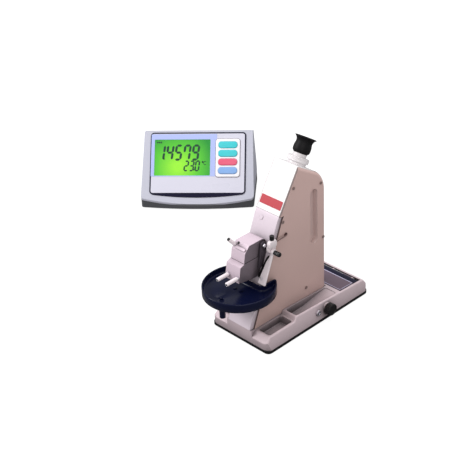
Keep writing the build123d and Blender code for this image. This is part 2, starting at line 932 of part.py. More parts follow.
with BuildPart() as tower_frame:
    with BuildSketch(side(spine_x)):
        Polygon(
            behind_panel(plinth_top, frame_set_back),
            behind_panel(frame_top, frame_set_back),
            sighted(sleeve_end - mirror_drop, -14.0),
            sighted(sleeve_end - mirror_drop, 6.0),
            sighted(sleeve_start - mirror_drop, 12.0),
            frame_waist,
            frame_heel,
            (frame_toe, plinth_top),
            align=None,
        )
        Polygon(
            behind_panel(neck_bottom - 2.0, flange_front),
            behind_panel(neck_top + 2.0, flange_front),
            behind_panel(neck_top + 2.0, flange_reach),
            behind_panel(neck_bottom - 2.0, flange_reach),
            align=None,
        )
        with Locations(frame_window):
            RectangleRounded(
                frame_window_width, frame_window_height, corner_radius / 2, mode=Mode.SUBTRACT
            )
    extrude(amount=spine_thickness)
    # Foot on the plinth
    with BuildSketch(level(plinth_top)):
        with Locations((spine_x + frame_foot, frame_foot_middle)):
            Rectangle(frame_foot_width, frame_foot_length)
        with Locations(*frame_screw_spots):
            Circle(screw_shank_radius, mode=Mode.SUBTRACT)
    extrude(amount=frame_foot)
    # Flange that carries the prisms, with its window for the light
    with BuildSketch(side(spine_x)):
        Polygon(
            behind_panel(neck_bottom - 2.0, flange_front),
            behind_panel(neck_top + 2.0, flange_front),
            behind_panel(neck_top + 2.0, flange_back),
            behind_panel(neck_bottom - 2.0, flange_back),
            align=None,
        )
    extrude(amount=neck_half + 1.0 - spine_x)
    with BuildSketch(front(panel_y(mirror_z))):
        with Locations((0, mirror_z)):
            Circle(light_bore + light_drop)
    extrude(amount=-flange_back - 1.0, mode=Mode.SUBTRACT)
    # Bearing of the mirror shaft
    with BuildSketch(side(spine_x)):
        with Locations(mirror_axis):
            Circle(journal_radius + 3.5)
    extrude(amount=-spine_x - mirror_width / 2 - 1.0)
    with BuildSketch(side(spine_x)):
        with Locations(mirror_axis):
            Circle(journal_radius + running)
    extrude(amount=-spine_x, mode=Mode.SUBTRACT)
    # Sleeve that holds the telescope tube
    with BuildSketch(sight(sleeve_start - mirror_drop)):
        Circle(tube_radius + sleeve_wall)
        with Locations(((spine_x - tube_radius) / 2, 0)):
            Rectangle(-spine_x - tube_radius, 16.0)
    extrude(amount=sleeve_end - sleeve_start)
    with BuildSketch(sight(sleeve_start - mirror_drop - 20.0)):
        Circle(tube_radius)
    extrude(amount=sleeve_end - sleeve_start + 40.0, mode=Mode.SUBTRACT)
finish(tower_frame, "tower_frame")

tube_top = -10.0
with BuildPart() as telescope_tube:
    with BuildSketch(sight(tube_start - mirror_drop)):
        Circle(tube_radius)
        Circle(tube_radius - tube_wall, mode=Mode.SUBTRACT)
    extrude(amount=tube_top - (tube_start - mirror_drop))
finish(telescope_tube, "telescope_tube")

with BuildPart() as objective_lens:
    with BuildSketch(sight(tube_start + 3.0 - mirror_drop)):
        Circle(tube_radius - tube_wall)
    extrude(amount=4.0)
finish(objective_lens, "objective_lens")

with BuildPart() as reticle:
    with BuildSketch(sight(tube_top - 9.0)):
        Circle(tube_radius - tube_wall)
    extrude(amount=1.5)
finish(reticle, "reticle")

# Eyepiece ------------------------------------------------------------------------

with BuildPart() as eyepiece_socket:
    with BuildSketch(sight(tube_top)):
        Circle(tube_radius)
    extrude(amount=-tube_top)
    with BuildSketch(sight(0)):
        Circle(socket_flange)
    extrude(amount=socket_flange_height)
    with BuildSketch(sight(tube_top)):
        Circle(barrel_radius + running)
    extrude(amount=socket_flange_height - tube_top, mode=Mode.SUBTRACT)
finish(eyepiece_socket, "eyepiece_socket")

with BuildPart() as dioptre_ring:
    ring_bottom = socket_flange_height + slip
    with BuildSketch(sight(ring_bottom)):
        Circle(ring_radius)
    extrude(amount=ring_top - ring_bottom)
    chamfer(dioptre_ring.edges().filter_by(GeomType.CIRCLE), 0.6)
    # The thread on the barrel is left as a plain gap of its depth.
    with BuildSketch(sight(ring_bottom)):
        Circle(barrel_radius + thread_depth)
    extrude(amount=ring_top - ring_bottom, mode=Mode.SUBTRACT)
    with BuildSketch(sight(ring_recess)):
        Circle(collar_radius + collar_room)
    extrude(amount=ring_top - ring_recess, mode=Mode.SUBTRACT)
finish(dioptre_ring, "dioptre_ring")

with BuildPart() as eyepiece_barrel:
    with BuildSketch(sight(barrel_bottom)):
        Circle(barrel_radius)
    extrude(amount=barrel_top - barrel_bottom)
    with BuildSketch(sight(collar_bottom)):
        Circle(collar_radius)
    extrude(amount=collar_top - collar_bottom)
    with BuildSketch(sight(barrel_bottom)):
        Circle(barrel_radius - barrel_wall)
    extrude(amount=barrel_top - barrel_bottom, mode=Mode.SUBTRACT)
finish(eyepiece_barrel, "eyepiece_barrel")

with BuildPart() as eyepiece_lens:
    with BuildSketch(sight(barrel_top - 7.0)):
        Circle(barrel_radius - barrel_wall)
    extrude(amount=4.0)
finish(eyepiece_lens, "eyepiece_lens")

sight_line = Axis(sight(0).origin, sight(0).z_dir)
sight_section = Plane(
    spot(0, sight_y, sight_z), x_dir=(1, 0, 0), z_dir=(0, -lean_cos, lean_sin)
)
with BuildPart() as eyecup:
    with BuildSketch(sight_section):
        with BuildLine():
            Line((barrel_radius, collar_top), (collar_radius, collar_top))
            Spline(
                (collar_radius, collar_top),
                (eyecup_bulge, eyecup_bulge_height),
                (eyecup_neck, eyecup_neck_height),
                (eyecup_rim, eyecup_top - eyecup_lip),
            )
            Polyline(
                (eyecup_rim, eyecup_top - eyecup_lip),
                (eyecup_rim, eyecup_top),
                (eyecup_rim - eyecup_wall, eyecup_top),
                (eyecup_neck - eyecup_wall, eyecup_neck_height),
                (eyecup_neck - eyecup_wall, barrel_top),
                (barrel_radius, barrel_top),
                (barrel_radius, collar_top),
            )
        make_face()
    revolve(axis=sight_line)
finish(eyecup, "eyecup")

# Covers of the tower ---------------------------------------------------------------

cover_screw_spots = [
    (100.0, 241.3),
    (75.5, 193.0),
    (166.4, 126.7),
    (161.3, 226.0),
    (125.4, 49.5),
]
arc_turn = (90 - sight_lean) / 2
arc_centre = (tower_back - back_arc, back_corner[1] - back_arc * tan(radians(arc_turn)))
arc_inner = polar(arc_centre, back_arc - cover_wall, 90 - sight_lean)
back_inner = tower_back - cover_wall
corner_inner = (
    back_inner,
    back_corner[1] + cover_wall * tan(radians(sight_lean)) - cover_wall / lean_cos,
)
boss_radius_y = grip_width / 2 + grip_wall


def side_cover(hand):
    """One of the two shells that close the tower's sides and back."""
    with BuildPart() as cover:
        with BuildSketch(side(0)) as outline:
            Polygon(
                behind_panel(tower_foot, panel_reveal),
                behind_panel(panel_top[1], panel_reveal),
                (cover_seam[0] + panel_reveal, cover_seam[1]),
                cover_seam,
                brow,
                back_corner,
                (tower_back, tower_foot),
                align=None,
            )
            fillet(outline.vertices().sort_by_distance(back_corner)[0], back_arc)
        extrude(amount=hand * tower_half)
        rounded = [
            edge
            for edge in cover.edges()
            if abs(edge.center().X - unit_x - hand * tower_half) < 0.1
            and edge.center().Y - unit_y > arc_centre[0]
            and edge.center().Z > tower_foot + 1
        ]
        fillet(rounded, back_round)
        with BuildSketch(side(0)) as hollow:
            Polygon(
                (-tower_back, 0),
                (back_inner, 0),
                corner_inner,
                sighted(0, -0.5, arc_inner),
                sighted(2 * back_arc, -0.5, arc_inner),
                (-tower_back, 2 * sight_z),
                align=None,
            )
            fillet(hollow.vertices().sort_by_distance(corner_inner)[0], back_arc - cover_wall)
        extrude(amount=hand * (tower_half - cover_wall), mode=Mode.SUBTRACT)
        with BuildSketch(side(hand * (tower_half - grip_depth - grip_wall))):
            with Locations((grip_y, grip_z)):
                SlotOverall(grip_length + 2 * grip_wall, 2 * boss_radius_y, rotation=90)
        extrude(amount=hand * (grip_depth + grip_wall - 1.0))
        with BuildSketch(side(hand * (tower_half - grip_depth))):
            with Locations((grip_y, grip_z)):
                SlotOverall(grip_length, grip_width, rotation=90)
        extrude(amount=hand * (grip_depth + 1.0), mode=Mode.SUBTRACT)
        with BuildSketch(side(hand * (tower_half - cover_wall))):
            with Locations(*cover_screw_spots):
                Circle(cover_screw_shank)
        extrude(amount=hand * (cover_wall + 1.0), mode=Mode.SUBTRACT)
    return cover


right_side_cover = side_cover(1)
finish(right_side_cover, "right_side_cover")
left_side_cover = side_cover(-1)
finish(left_side_cover, "left_side_cover")

cover_foot = sighted(seam, 0, cover_seam)
with BuildPart() as front_cover:
    with BuildSketch(side(-panel_half)):
        Polygon(
            cover_foot,
            brow,
            top_end,
            sighted(-10.0, 0, top_end),
            sighted(-10.0, 10.0, brow),
            (cover_foot[0] + 10.0 / lean_cos, cover_foot[1]),
            align=None,
        )
    extrude(amount=2 * panel_half)
    bend = [
        edge
        for edge in front_cover.edges().filter_by(Axis.X)
        if abs(edge.center().Y - unit_y - brow[0]) + abs(edge.center().Z - brow[1]) < 1
    ]
    fillet(bend, panel_sheet + 0.5)
    with BuildSketch(side(panel_sheet - panel_half)):
        Polygon(
            sighted(-30.0, panel_sheet, cover_foot),
            sighted(-panel_sheet, panel_sheet, brow),
            sighted(-panel_sheet, 10.0, top_end),
            sighted(-30.0, 10.0, top_end),
            align=None,
        )
    extrude(amount=2 * (panel_half - panel_sheet), mode=Mode.SUBTRACT)
    with BuildSketch(sight(-20.0)):
        Circle(tube_radius + 0.1)
    extrude(amount=30.0, mode=Mode.SUBTRACT)
finish(front_cover, "front_cover")

with BuildPart() as front_panel:
    with BuildSketch(side(-panel_half)):
        Polygon(
            (panel_y(tower_foot), tower_foot),
            panel_top,
            cover_seam,
            (cover_seam[0] + panel_flange, cover_seam[1]),
            behind_panel(panel_top[1], panel_flange),
            behind_panel(tower_foot, panel_flange),
            align=None,
        )
    extrude(amount=2 * panel_half)
    with BuildSketch(side(panel_sheet - panel_half)):
        Polygon(
            behind_panel(tower_foot - 5.0, panel_sheet * panel_square),
            behind_panel(panel_top[1], panel_sheet * panel_square),
            sighted(5.0, panel_sheet, cover_seam),
            (cover_seam[0] + 2 * panel_flange, cover_seam[1] + 5.0),
            behind_panel(tower_foot - 5.0, 2 * panel_flange),
            align=None,
        )
    extrude(amount=2 * (panel_half - panel_sheet), mode=Mode.SUBTRACT)
    with BuildSketch(front(0)):
        with Locations((0, (neck_bottom + neck_top) / 2)):
            RectangleRounded(2 * neck_half + 4.0, neck_top - neck_bottom + 4.0, 2.0)
    extrude(amount=-panel_y(neck_top) - 2 * panel_flange, mode=Mode.SUBTRACT)
finish(front_panel, "front_panel")

band_y, band_z = sighted(band_above_seam, 0, cover_seam)
with BuildPart() as label_band:
    with BuildSketch(
        Plane(spot(0, band_y, band_z), x_dir=(1, 0, 0), z_dir=(0, -lean_cos, lean_sin))
    ):
        RectangleRounded(band_width, band_height, 1.0)
    extrude(amount=band_thickness)
finish(label_band, "label_band")

panel_normal = (0, -1, panel_lean)
with BuildPart() as panel_plug:
    with BuildSketch(
        Plane(spot(plug_x, panel_y(plug_z), plug_z), x_dir=(1, 0, 0), z_dir=panel_normal)
    ):
        Circle(plug_radius)
    extrude(amount=1.2)
    chamfer(panel_plug.faces().sort_by(Axis.Y)[0].edges(), 0.5)
finish(panel_plug, "panel_plug")

# Prism boxes -------------------------------------------------------------------------

with BuildPart() as prism_mount:
    with BuildSketch(side(-neck_half)):
        Polygon(
            (panel_y(neck_bottom, neck_gap), neck_bottom),
            (panel_y(neck_top, neck_gap), neck_top),
            behind_panel(neck_top, flange_front),
            behind_panel(neck_bottom, flange_front),
            align=None,
        )
    extrude(amount=2 * neck_half)
    with BuildSketch(front(0)):
        with Locations((0, mirror_z - light_drop)):
            Circle(light_bore)
    extrude(amount=-panel_y(neck_top) - flange_back, mode=Mode.SUBTRACT)
finish(prism_mount, "prism_mount")

brow_back, brow_front, brow_drop = box_brow
with BuildPart() as lower_prism_box:
    with BuildSketch(side(-box_half)):
        Polygon(
            (brow_back, prism_seam),
            (-brow_front, prism_seam - brow_drop),
            (-box_chin[0], box_chin[1]),
            (box_keel, box_bottom),
            (panel_y(box_bottom, neck_gap), box_bottom),
            (panel_y(prism_seam, neck_gap), prism_seam),
            align=None,
        )
    extrude(amount=2 * box_half)
    # Hinge ears
    for hand in (-1, 1):
        with BuildSketch(side(hand * box_half)):
            with Locations((pin_y, pin_z)):
                Circle(ear_radius)
            Polygon(
                (pin_y - ear_radius, pin_z),
                (pin_y + ear_radius, pin_z),
                (panel_y(prism_seam, 2 * neck_gap), prism_seam),
                (panel_y(neck_bottom + ear_drop, neck_gap), neck_bottom + ear_drop),
                (pin_y - 2 * ear_radius, neck_bottom + ear_drop),
                align=None,
            )
        extrude(amount=hand * ear_thickness)
    with BuildSketch(side(-pin_reach)):
        with Locations((pin_y, pin_z)):
            Circle(pin_radius)
    extrude(amount=2 * pin_reach, mode=Mode.SUBTRACT)
    # Pocket of the measuring prism, and the way of the light to the mirror
    with BuildSketch(level(prism_seam - prism_depth)):
        with Locations((0, (prism_front + prism_back) / 2)):
            Rectangle(2 * prism_half, prism_back - prism_front)
    extrude(amount=prism_depth, mode=Mode.SUBTRACT)
    with BuildSketch(front(prism_back)):
        with Locations((0, mirror_z - light_drop)):
            Circle(light_bore)
    extrude(amount=-prism_back, mode=Mode.SUBTRACT)
    # Threads and level seats of the hose nipples
    for start, radius in (
        (lower_nipple_face + nipple_root, nipple_thread),
        (lower_nipple_face, nipple_collar + running),
    ):
        with BuildSketch(front(start)):
            with Locations(
                (lower_nipple_left, lower_nipple_z), (lower_nipple_right, lower_nipple_z)
            ):
                Circle(radius)
        extrude(amount=4 * nipple_root, mode=Mode.SUBTRACT)
finish(lower_prism_box, "lower_prism_box")

with BuildPart() as main_prism:
    with BuildSketch(level(prism_seam - prism_depth)):
        with Locations((0, (prism_front + prism_back) / 2)):
            Rectangle(2 * prism_half, prism_back - prism_front)
    extrude(amount=prism_depth)
finish(main_prism, "main_prism")

with BuildPart() as prism_hinge_pin:
    with BuildSketch(side(-pin_reach)):
        with Locations((pin_y, pin_z)):
            Circle(pin_radius)
    extrude(amount=2 * pin_reach)
    for hand in (-1, 1):
        with BuildSketch(side(hand * (box_half + ear_thickness))):
            with Locations((pin_y, pin_z)):
                Circle(pin_head_radius)
        extrude(amount=hand * (pin_reach - box_half - ear_thickness))
finish(prism_hinge_pin, "prism_hinge_pin")

lid_bottom = prism_seam + box_gap
with BuildPart() as upper_prism_box:
    with BuildSketch(side(-lid_half)):
        Polygon(
            (brow_back, lid_bottom),
            chamfer_low,
            chamfer_high,
            (pin_y, pin_z + lid_knuckle),
            (pin_y + lid_knuckle, pin_z),
            lid_heel,
            (lid_toe, lid_bottom),
            align=None,
        )
        with Locations((pin_y, pin_z)):
            Circle(lid_knuckle)
    extrude(amount=2 * lid_half)
    with BuildSketch(side(-lid_half)):
        with Locations((pin_y, pin_z)):
            Circle(pin_radius + running)
    extrude(amount=2 * lid_half, mode=Mode.SUBTRACT)
    with BuildSketch(level(lid_bottom)):
        with Locations((0, (prism_front + prism_back) / 2)):
            Rectangle(2 * prism_half, prism_back - prism_front)
    extrude(amount=upper_prism_height, mode=Mode.SUBTRACT)

chamfer_angle = atan2(chamfer_high[1] - chamfer_low[1], chamfer_high[0] - chamfer_low[0])
chamfer_middle = (
    (chamfer_low[0] + chamfer_high[0]) / 2,
    (chamfer_low[1] + chamfer_high[1]) / 2,
)
chamfer_plane = Plane(
    spot(0, *chamfer_middle),
    x_dir=(1, 0, 0),
    z_dir=(0, -sin(chamfer_angle), cos(chamfer_angle)),
)
nipple_out = radians(upper_nipple_angle)
upper_nipple_plane = Plane(
    spot(upper_nipple_x, *chamfer_middle),
    x_dir=(1, 0, 0),
    z_dir=(0, -cos(nipple_out), sin(nipple_out)),
)
with BuildPart() as upper_prism_holes:
    with BuildSketch(upper_nipple_plane.offset(-nipple_root)):
        Circle(nipple_radius)
    extrude(amount=3 * nipple_root)
    with BuildSketch(chamfer_plane.offset(-sensor_depth)):
        with Locations((sensor_x, sensor_up)):
            Circle(sensor_radius)
    extrude(amount=2 * sensor_depth)
with upper_prism_box:
    add(upper_prism_holes.part, mode=Mode.SUBTRACT)
finish(upper_prism_box, "upper_prism_box")

with BuildPart() as illuminating_prism:
    with BuildSketch(level(lid_bottom)):
        with Locations((0, (prism_front + prism_back) / 2)):
            Rectangle(2 * prism_half, prism_back - prism_front)
    extrude(amount=upper_prism_height)
finish(illuminating_prism, "illuminating_prism")


def nipple(plane, length, *steps):
    """A plain hose nipple with an open bore, along the plane's axis, and the steps of its root."""
    piece = turned(plane, *steps, (steps[-1][1], length, nipple_radius))
    bore = turned(plane, (-nipple_root, length, nipple_bore))
    with piece:
        mouth = piece.faces().sort_by(Axis(plane.origin, plane.z_dir))[-1]
        chamfer(mouth.outer_wire().edges(), nipple_chamfer)
        add(bore.part, mode=Mode.SUBTRACT)
    return piece


with BuildPart() as lower_hose_nipples:
    for across in (lower_nipple_left, lower_nipple_right):
        socket_plane = Plane(
            spot(across, lower_nipple_face, lower_nipple_z),
            x_dir=(1, 0, 0),
            z_dir=(0, -1, 0),
        )
        threaded = (-nipple_root, 0, nipple_thread)
        collar = (0, nipple_collar_length, nipple_collar)
        add(nipple(socket_plane, nipple_length, threaded, collar).part)
finish(lower_hose_nipples, "lower_hose_nipples")

upper_hose_nipple = nipple(
    upper_nipple_plane, upper_nipple_length, (-nipple_root, 0, nipple_radius)
)
finish(upper_hose_nipple, "upper_hose_nipple")

with BuildPart() as grip_bar:
    with BuildSketch(chamfer_plane):
        with Locations((grip_bar_x, -grip_bar_down)):
            RectangleRounded(grip_bar_length, grip_bar_width, grip_bar_round)
    extrude(amount=grip_bar_height)
finish(grip_bar, "grip_bar")

# Drip dish ------------------------------------------------------------------------------


def dish_plan(inset):
    """Plan of the dish, drawn in from its outside."""
    notch_edge = notch_front - inset
    with BuildSketch() as plan:
        with Locations((0, dish_y)):
            Circle(dish_radius - inset)
        with Locations((0, notch_edge + dish_radius)):
            Rectangle(2 * (notch_half + inset), 2 * dish_radius, mode=Mode.SUBTRACT)
        horns = plan.vertices().filter_by(lambda vertex: vertex.Y > notch_edge + 1)
        fillet(horns, horn_round - inset / 2)
        corners = plan.vertices().filter_by(
            lambda vertex: abs(vertex.Y - notch_edge) < 0.1 and abs(vertex.X) > notch_half - 1
        )
        fillet(corners, notch_corner + inset)
    return plan.sketch


with BuildPart() as drip_dish:
    with BuildSketch(level(dish_skirt)):
        add(dish_plan(0))
    extrude(amount=dish_rim - dish_skirt)
    with BuildSketch(level(dish_floor + dish_wall)):
        add(dish_plan(dish_wall))
    extrude(amount=dish_rim, mode=Mode.SUBTRACT)
    with BuildSketch(level(dish_skirt)):
        add(dish_plan(dish_wall))
    extrude(amount=dish_floor - dish_skirt, mode=Mode.SUBTRACT)
    with BuildSketch(level(spout_bottom)):
        with Locations((0, spout_y)):
            Circle(spout_radius)
    extrude(amount=dish_floor - spout_bottom)
    with BuildSketch(level(spout_bottom)):
        with Locations((0, spout_y)):
            Circle(spout_bore)
    extrude(amount=dish_rim - spout_bottom, mode=Mode.SUBTRACT)
    with BuildSketch(level(dish_floor)):
        with Locations(*dish_screw_spots):
            Circle(screw_shank_radius)
    extrude(amount=dish_wall, mode=Mode.SUBTRACT)
finish(drip_dish, "drip_dish")

pad_back = notch_front - dish_wall - 2.0
plate_top = bracket_arm_bottom + 2.0
with BuildPart() as dish_bracket:
    with BuildSketch(side(-bracket_half)):
        Polygon(
            (bracket_front, bracket_arm_bottom + 2.0),
            (bracket_front, dish_floor),
            (pad_back, dish_floor),
            (pad_back, bracket_arm_top),
            (panel_y(plate_top, bracket_plate), bracket_arm_top),
            (panel_y(bracket_arm_top), bracket_arm_top),
            (panel_y(bracket_plate_bottom), bracket_plate_bottom),
            (panel_y(bracket_plate_bottom, bracket_plate), bracket_plate_bottom),
            (panel_y(bracket_arm_bottom, bracket_plate), bracket_arm_bottom),
            align=None,
        )
    extrude(amount=2 * bracket_half)
    with BuildSketch(level(bracket_arm_bottom)):
        with Locations(*dish_screw_spots):
            Circle(screw_shank_radius)
    extrude(amount=dish_rim, mode=Mode.SUBTRACT)
finish(dish_bracket, "dish_bracket")

with BuildPart() as machine_screws:
    # Five in each side cover
    for hand in (-1, 1):
        with BuildSketch(side(hand * tower_half)):
            with Locations(*cover_screw_spots):
                Circle(cover_screw_radius)
        extrude(amount=hand * cover_screw_head)
        with BuildSketch(side(hand * (tower_half - cover_wall))):
            with Locations(*cover_screw_spots):
                Circle(cover_screw_shank)
        extrude(amount=hand * cover_wall)
    # Two in the frame's foot, and two in the floor of the dish
    for seat, reach, spots in (
        (plinth_top + frame_foot, frame_foot, frame_screw_spots),
        (dish_floor + dish_wall, dish_wall + bracket_thread, dish_screw_spots),
    ):
        with BuildSketch(level(seat)):
            with Locations(*spots):
                Circle(screw_head_radius)
        extrude(amount=screw_head_height)
        with BuildSketch(level(seat - reach)):
            with Locations(*spots):
                Circle(screw_shank_radius)
        extrude(amount=reach)
finish(machine_screws, "machine_screws")

# Lamp ---------------------------------------------------------------------------------------

lamp_pivot = (lamp_y, lamp_z)
bracket_inside = panel_half + lamp_bracket_gap
bracket_top = [
    (lamp_y - lamp_bracket_front, lamp_z + lamp_bracket_low),
    (lamp_y - lamp_bracket_front, lamp_z + lamp_bracket_shoulder),
    (lamp_y - lamp_bracket_low, lock_knob_bottom),
    (lamp_y + lamp_bracket_low - 1.0, lock_knob_bottom),
    (lamp_y + lamp_bracket_back, lamp_z + lamp_bracket_shoulder - 1.0),
]
with BuildPart() as lamp_bracket:
    # Cheek against the panel, then the thinner head that reaches over the arm
    for start, end, sole in (
        (
            bracket_inside,
            lamp_bracket_end - lamp_bracket_slot,
            [
                (lamp_y + lamp_bracket_foot, lamp_z - lamp_bracket_sole),
                (lamp_y - lamp_bracket_foot, lamp_z - lamp_bracket_sole),
            ],
        ),
        (
            lamp_bracket_end - lamp_bracket_plate,
            lamp_bracket_end,
            [(lamp_y + lamp_bracket_low - 1.0, lamp_z + lamp_bracket_low)],
        ),
    ):
        with BuildSketch(side(start)):
            Polygon(*bracket_top, *sole, align=None)
        extrude(amount=end - start)
    with BuildSketch(side(panel_half)):
        with Locations(lamp_pivot):
            Circle(lamp_pin_radius)
    extrude(amount=lamp_bracket_end - panel_half, mode=Mode.SUBTRACT)
    with BuildSketch(level(lock_knob_bottom - lock_screw_length - 1.0)):
        with Locations((panel_half + lock_knob_across, lamp_y)):
            Circle(lock_screw_radius + running)
    extrude(amount=2 * lock_screw_length, mode=Mode.SUBTRACT)
finish(lamp_bracket, "lamp_bracket")

lean = radians(lamp_arm_lean)
lamp_axis = Plane(spot(0, lamp_y, lamp_z), x_dir=(0, 1, 0), z_dir=(1, 0, 0))
arm_face = Plane(
    spot(lamp_x, lamp_y, lamp_z),
    x_dir=(1, 0, 0),
    z_dir=(0, -cos(lean), sin(lean)),
)
with BuildPart() as lamp_arm:
    with BuildSketch(arm_face.offset(-lamp_arm_thickness / 2)):
        Polygon(
            (-lamp_arm_neck, 0),
            (lamp_top_half, 0),
            (lamp_foot_half, -lamp_arm_length),
            (-lamp_foot_half, -lamp_arm_length),
            (-lamp_arm_shoulder, -lamp_arm_shoulder_drop),
            (-lamp_arm_neck, -lamp_arm_neck_drop),
            align=None,
        )
    extrude(amount=lamp_arm_thickness)
    with BuildSketch(lamp_axis.offset(lamp_hub_start)):
        Circle(lamp_hub_radius)
    extrude(amount=lamp_hub_end - lamp_hub_start)
    with BuildSketch(lamp_axis.offset(panel_half)):
        Circle(lamp_pin_radius + running)
    extrude(amount=2 * (lamp_hub_end - panel_half), mode=Mode.SUBTRACT)
    with BuildSketch(arm_face.offset(lamp_arm_thickness / 2)):
        with Locations((-lamp_lens_across, lamp_lens_up - lamp_arm_length)):
            Circle(lamp_lens_radius)
    extrude(amount=-lamp_lens_depth, mode=Mode.SUBTRACT)
finish(lamp_arm, "lamp_arm")

with BuildPart() as lamp_lens:
    with BuildSketch(arm_face.offset(lamp_arm_thickness / 2 - lamp_lens_depth)):
        with Locations((-lamp_lens_across, lamp_lens_up - lamp_arm_length)):
            Circle(lamp_lens_radius)
    extrude(amount=lamp_lens_depth + lamp_lens_proud)
finish(lamp_lens, "lamp_lens")

with BuildPart() as lamp_pivot_pin:
    with BuildSketch(lamp_axis.offset(lamp_pin_start)):
        Circle(lamp_pin_radius)
    extrude(amount=lamp_hub_end + lamp_pin_reach - lamp_pin_start)
finish(lamp_pivot_pin, "lamp_pivot_pin")

with BuildPart() as lamp_swing_knob:
    with BuildSketch(lamp_axis.offset(lamp_hub_end + slip)):
        Circle(lamp_knob_radius)
        with PolarLocations(lamp_knob_radius + lamp_knob_flute_out, lamp_knob_flutes):
            Circle(lamp_knob_flute_radius, mode=Mode.SUBTRACT)
    extrude(amount=lamp_knob_length)
    with BuildSketch(lamp_axis.offset(lamp_hub_end)):
        Circle(lamp_pin_radius + running)
    extrude(amount=lamp_pin_reach + slip, mode=Mode.SUBTRACT)
finish(lamp_swing_knob, "lamp_swing_knob")

with BuildPart() as lamp_lock_knob:
    with BuildSketch(Plane(spot(panel_half + lock_knob_across, lamp_y, lock_knob_bottom + slip))):
        Circle(lock_knob_radius)
        with PolarLocations(lock_knob_radius + lamp_knob_flute_out, lamp_knob_flutes):
            Circle(lamp_knob_flute_radius, mode=Mode.SUBTRACT)
    extrude(amount=lock_knob_top - lock_knob_bottom - slip)
    with BuildSketch(
        Plane(spot(panel_half + lock_knob_across, lamp_y, lock_knob_bottom - lock_screw_length))
    ):
        Circle(lock_screw_radius)
    extrude(amount=lock_screw_length + slip)
finish(lamp_lock_knob, "lamp_lock_knob")

with BuildPart() as cable_grommet:
    with BuildSketch(side(tower_half)):
        with Locations((grommet_y, grommet_z)):
            Circle(grommet_radius)
            Circle(lead_radius + running, mode=Mode.SUBTRACT)
    extrude(amount=grommet_thickness)
finish(cable_grommet, "cable_grommet")

with BuildPart() as lamp_lead:
    with BuildLine():
        FilletPolyline(
            spot(tower_half, grommet_y, grommet_z),
            spot(lead_x, grommet_y, grommet_z),
            spot(lead_x, lead_end, lead_end_z),
            radius=lead_bend,
        )
    with BuildSketch(side(tower_half)):
        with Locations((grommet_y, grommet_z)):
            Circle(lead_radius)
    sweep()
finish(lamp_lead, "lamp_lead")

# Display console --------------------------------------------------------------------------------

turn = radians(console_yaw)
console_across = (cos(turn), sin(turn), 0)
console_back = (-sin(turn), cos(turn), 0)
face_lean = radians(console_lean)
face_top_y = console_face * sin(face_lean)
face_top_z = console_edge + console_face * cos(face_lean)
console_depth = face_top_y + console_rear_foot


def console_level(height):
    """Horizontal plane over the console: local x across, local y to its back."""
    origin = (unit_x + console_x, unit_y + console_y, height)
    return Plane(origin, x_dir=console_across, z_dir=(0, 0, 1))


def console_side(across):
    """Upright plane along the console: local x to its back, local y is z."""
    origin = console_level(0).from_local_coords((across, 0, 0))
    return Plane(origin, x_dir=console_back, z_dir=console_across)


def console_face_plane(across, up, out=0.0):
    """Plane of the sloping face: local x across, local y up the slope."""
    origin = console_side(across).from_local_coords(
        (up * sin(face_lean), console_edge + up * cos(face_lean), 0)
    )
    normal = Vector(console_back) * -cos(face_lean) + Vector(0, 0, sin(face_lean))
    return Plane(origin, x_dir=console_across, z_dir=normal).offset(out)


def console_plan(inset):
    """Plan of the console with its bowed front, drawn in from the outside."""
    half = console_width / 2
    with BuildSketch() as plan:
        with BuildLine():
            ThreePointArc((-half, 0), (0, -console_bow), (half, 0))
            Polyline((half, 0), (half, console_depth), (-half, console_depth), (-half, 0))
        make_face()
        fillet(plan.vertices(), console_corner)
        if inset:
            offset(amount=-inset, kind=Kind.INTERSECTION)
    return plan.sketch


def sloped(up, depth):
    """A point of the console's side view, up its face and a depth below it."""
    return (
        up * sin(face_lean) + depth * cos(face_lean),
        console_edge + up * cos(face_lean) - depth * sin(face_lean),
    )


bow_up = console_bow / sin(face_lean)
rear_top = (face_top_y + console_rear_top, face_top_z - 5.0)
with BuildPart() as console_housing:
    with BuildSketch(console_side(-console_width / 2)):
        Polygon(
            sloped(-bow_up, 0),
            sloped(console_face, 0),
            rear_top,
            (console_depth, console_edge),
            sloped(console_wall * tan(face_lean), console_wall),
            sloped(-bow_up, console_wall),
            align=None,
        )
    extrude(amount=console_width)
    with BuildSketch(console_level(0)):
        add(console_plan(0))
    extrude(amount=2 * console_face, mode=Mode.INTERSECT)
    with BuildSketch(
        Plane(console_level(0).origin, x_dir=console_across, z_dir=Vector(console_back) * -1)
    ):
        Polygon(
            (-console_width / 2, 0),
            (console_width / 2, 0),
            (console_width / 2, console_edge),
            (console_top_width / 2, face_top_z),
            (-console_top_width / 2, face_top_z),
            (-console_width / 2, console_edge),
            align=None,
        )
    extrude(amount=2 * console_depth, both=True, mode=Mode.INTERSECT)
    with BuildSketch(console_side(-console_top_width / 2 + console_wall)):
        Polygon(
            sloped(-bow_up, console_wall),
            sloped(console_face - console_wall, console_wall),
            (rear_top[0] - console_wall, rear_top[1] - console_wall),
            (console_depth - console_wall, console_edge - 1.0),
            (console_depth - console_wall, 0),
            (0, 0),
            align=None,
        )
    extrude(amount=console_top_width - 2 * console_wall, mode=Mode.SUBTRACT)
    # Windows for the display and for the keys
    with BuildSketch(console_face_plane(0, 0, 1.0)):
        with Locations((lcd_across, lcd_up)):
            Rectangle(lcd_width, lcd_height)
        with Locations((keypad_across, keypad_up)):
            Rectangle(keypad_width - 4.0, keypad_height - 4.0)
    extrude(amount=-console_wall - 2.0, mode=Mode.SUBTRACT)
    # Posts of the circuit board
    with BuildSketch(console_face_plane(0, 0, -console_wall)):
        with Locations((0, panel_up)):
            with GridLocations(panel_width - 12.0, panel_height - 12.0, 2, 2):
                Circle(3.0)
    extrude(amount=console_wall - board_depth)
finish(console_housing, "console_housing")

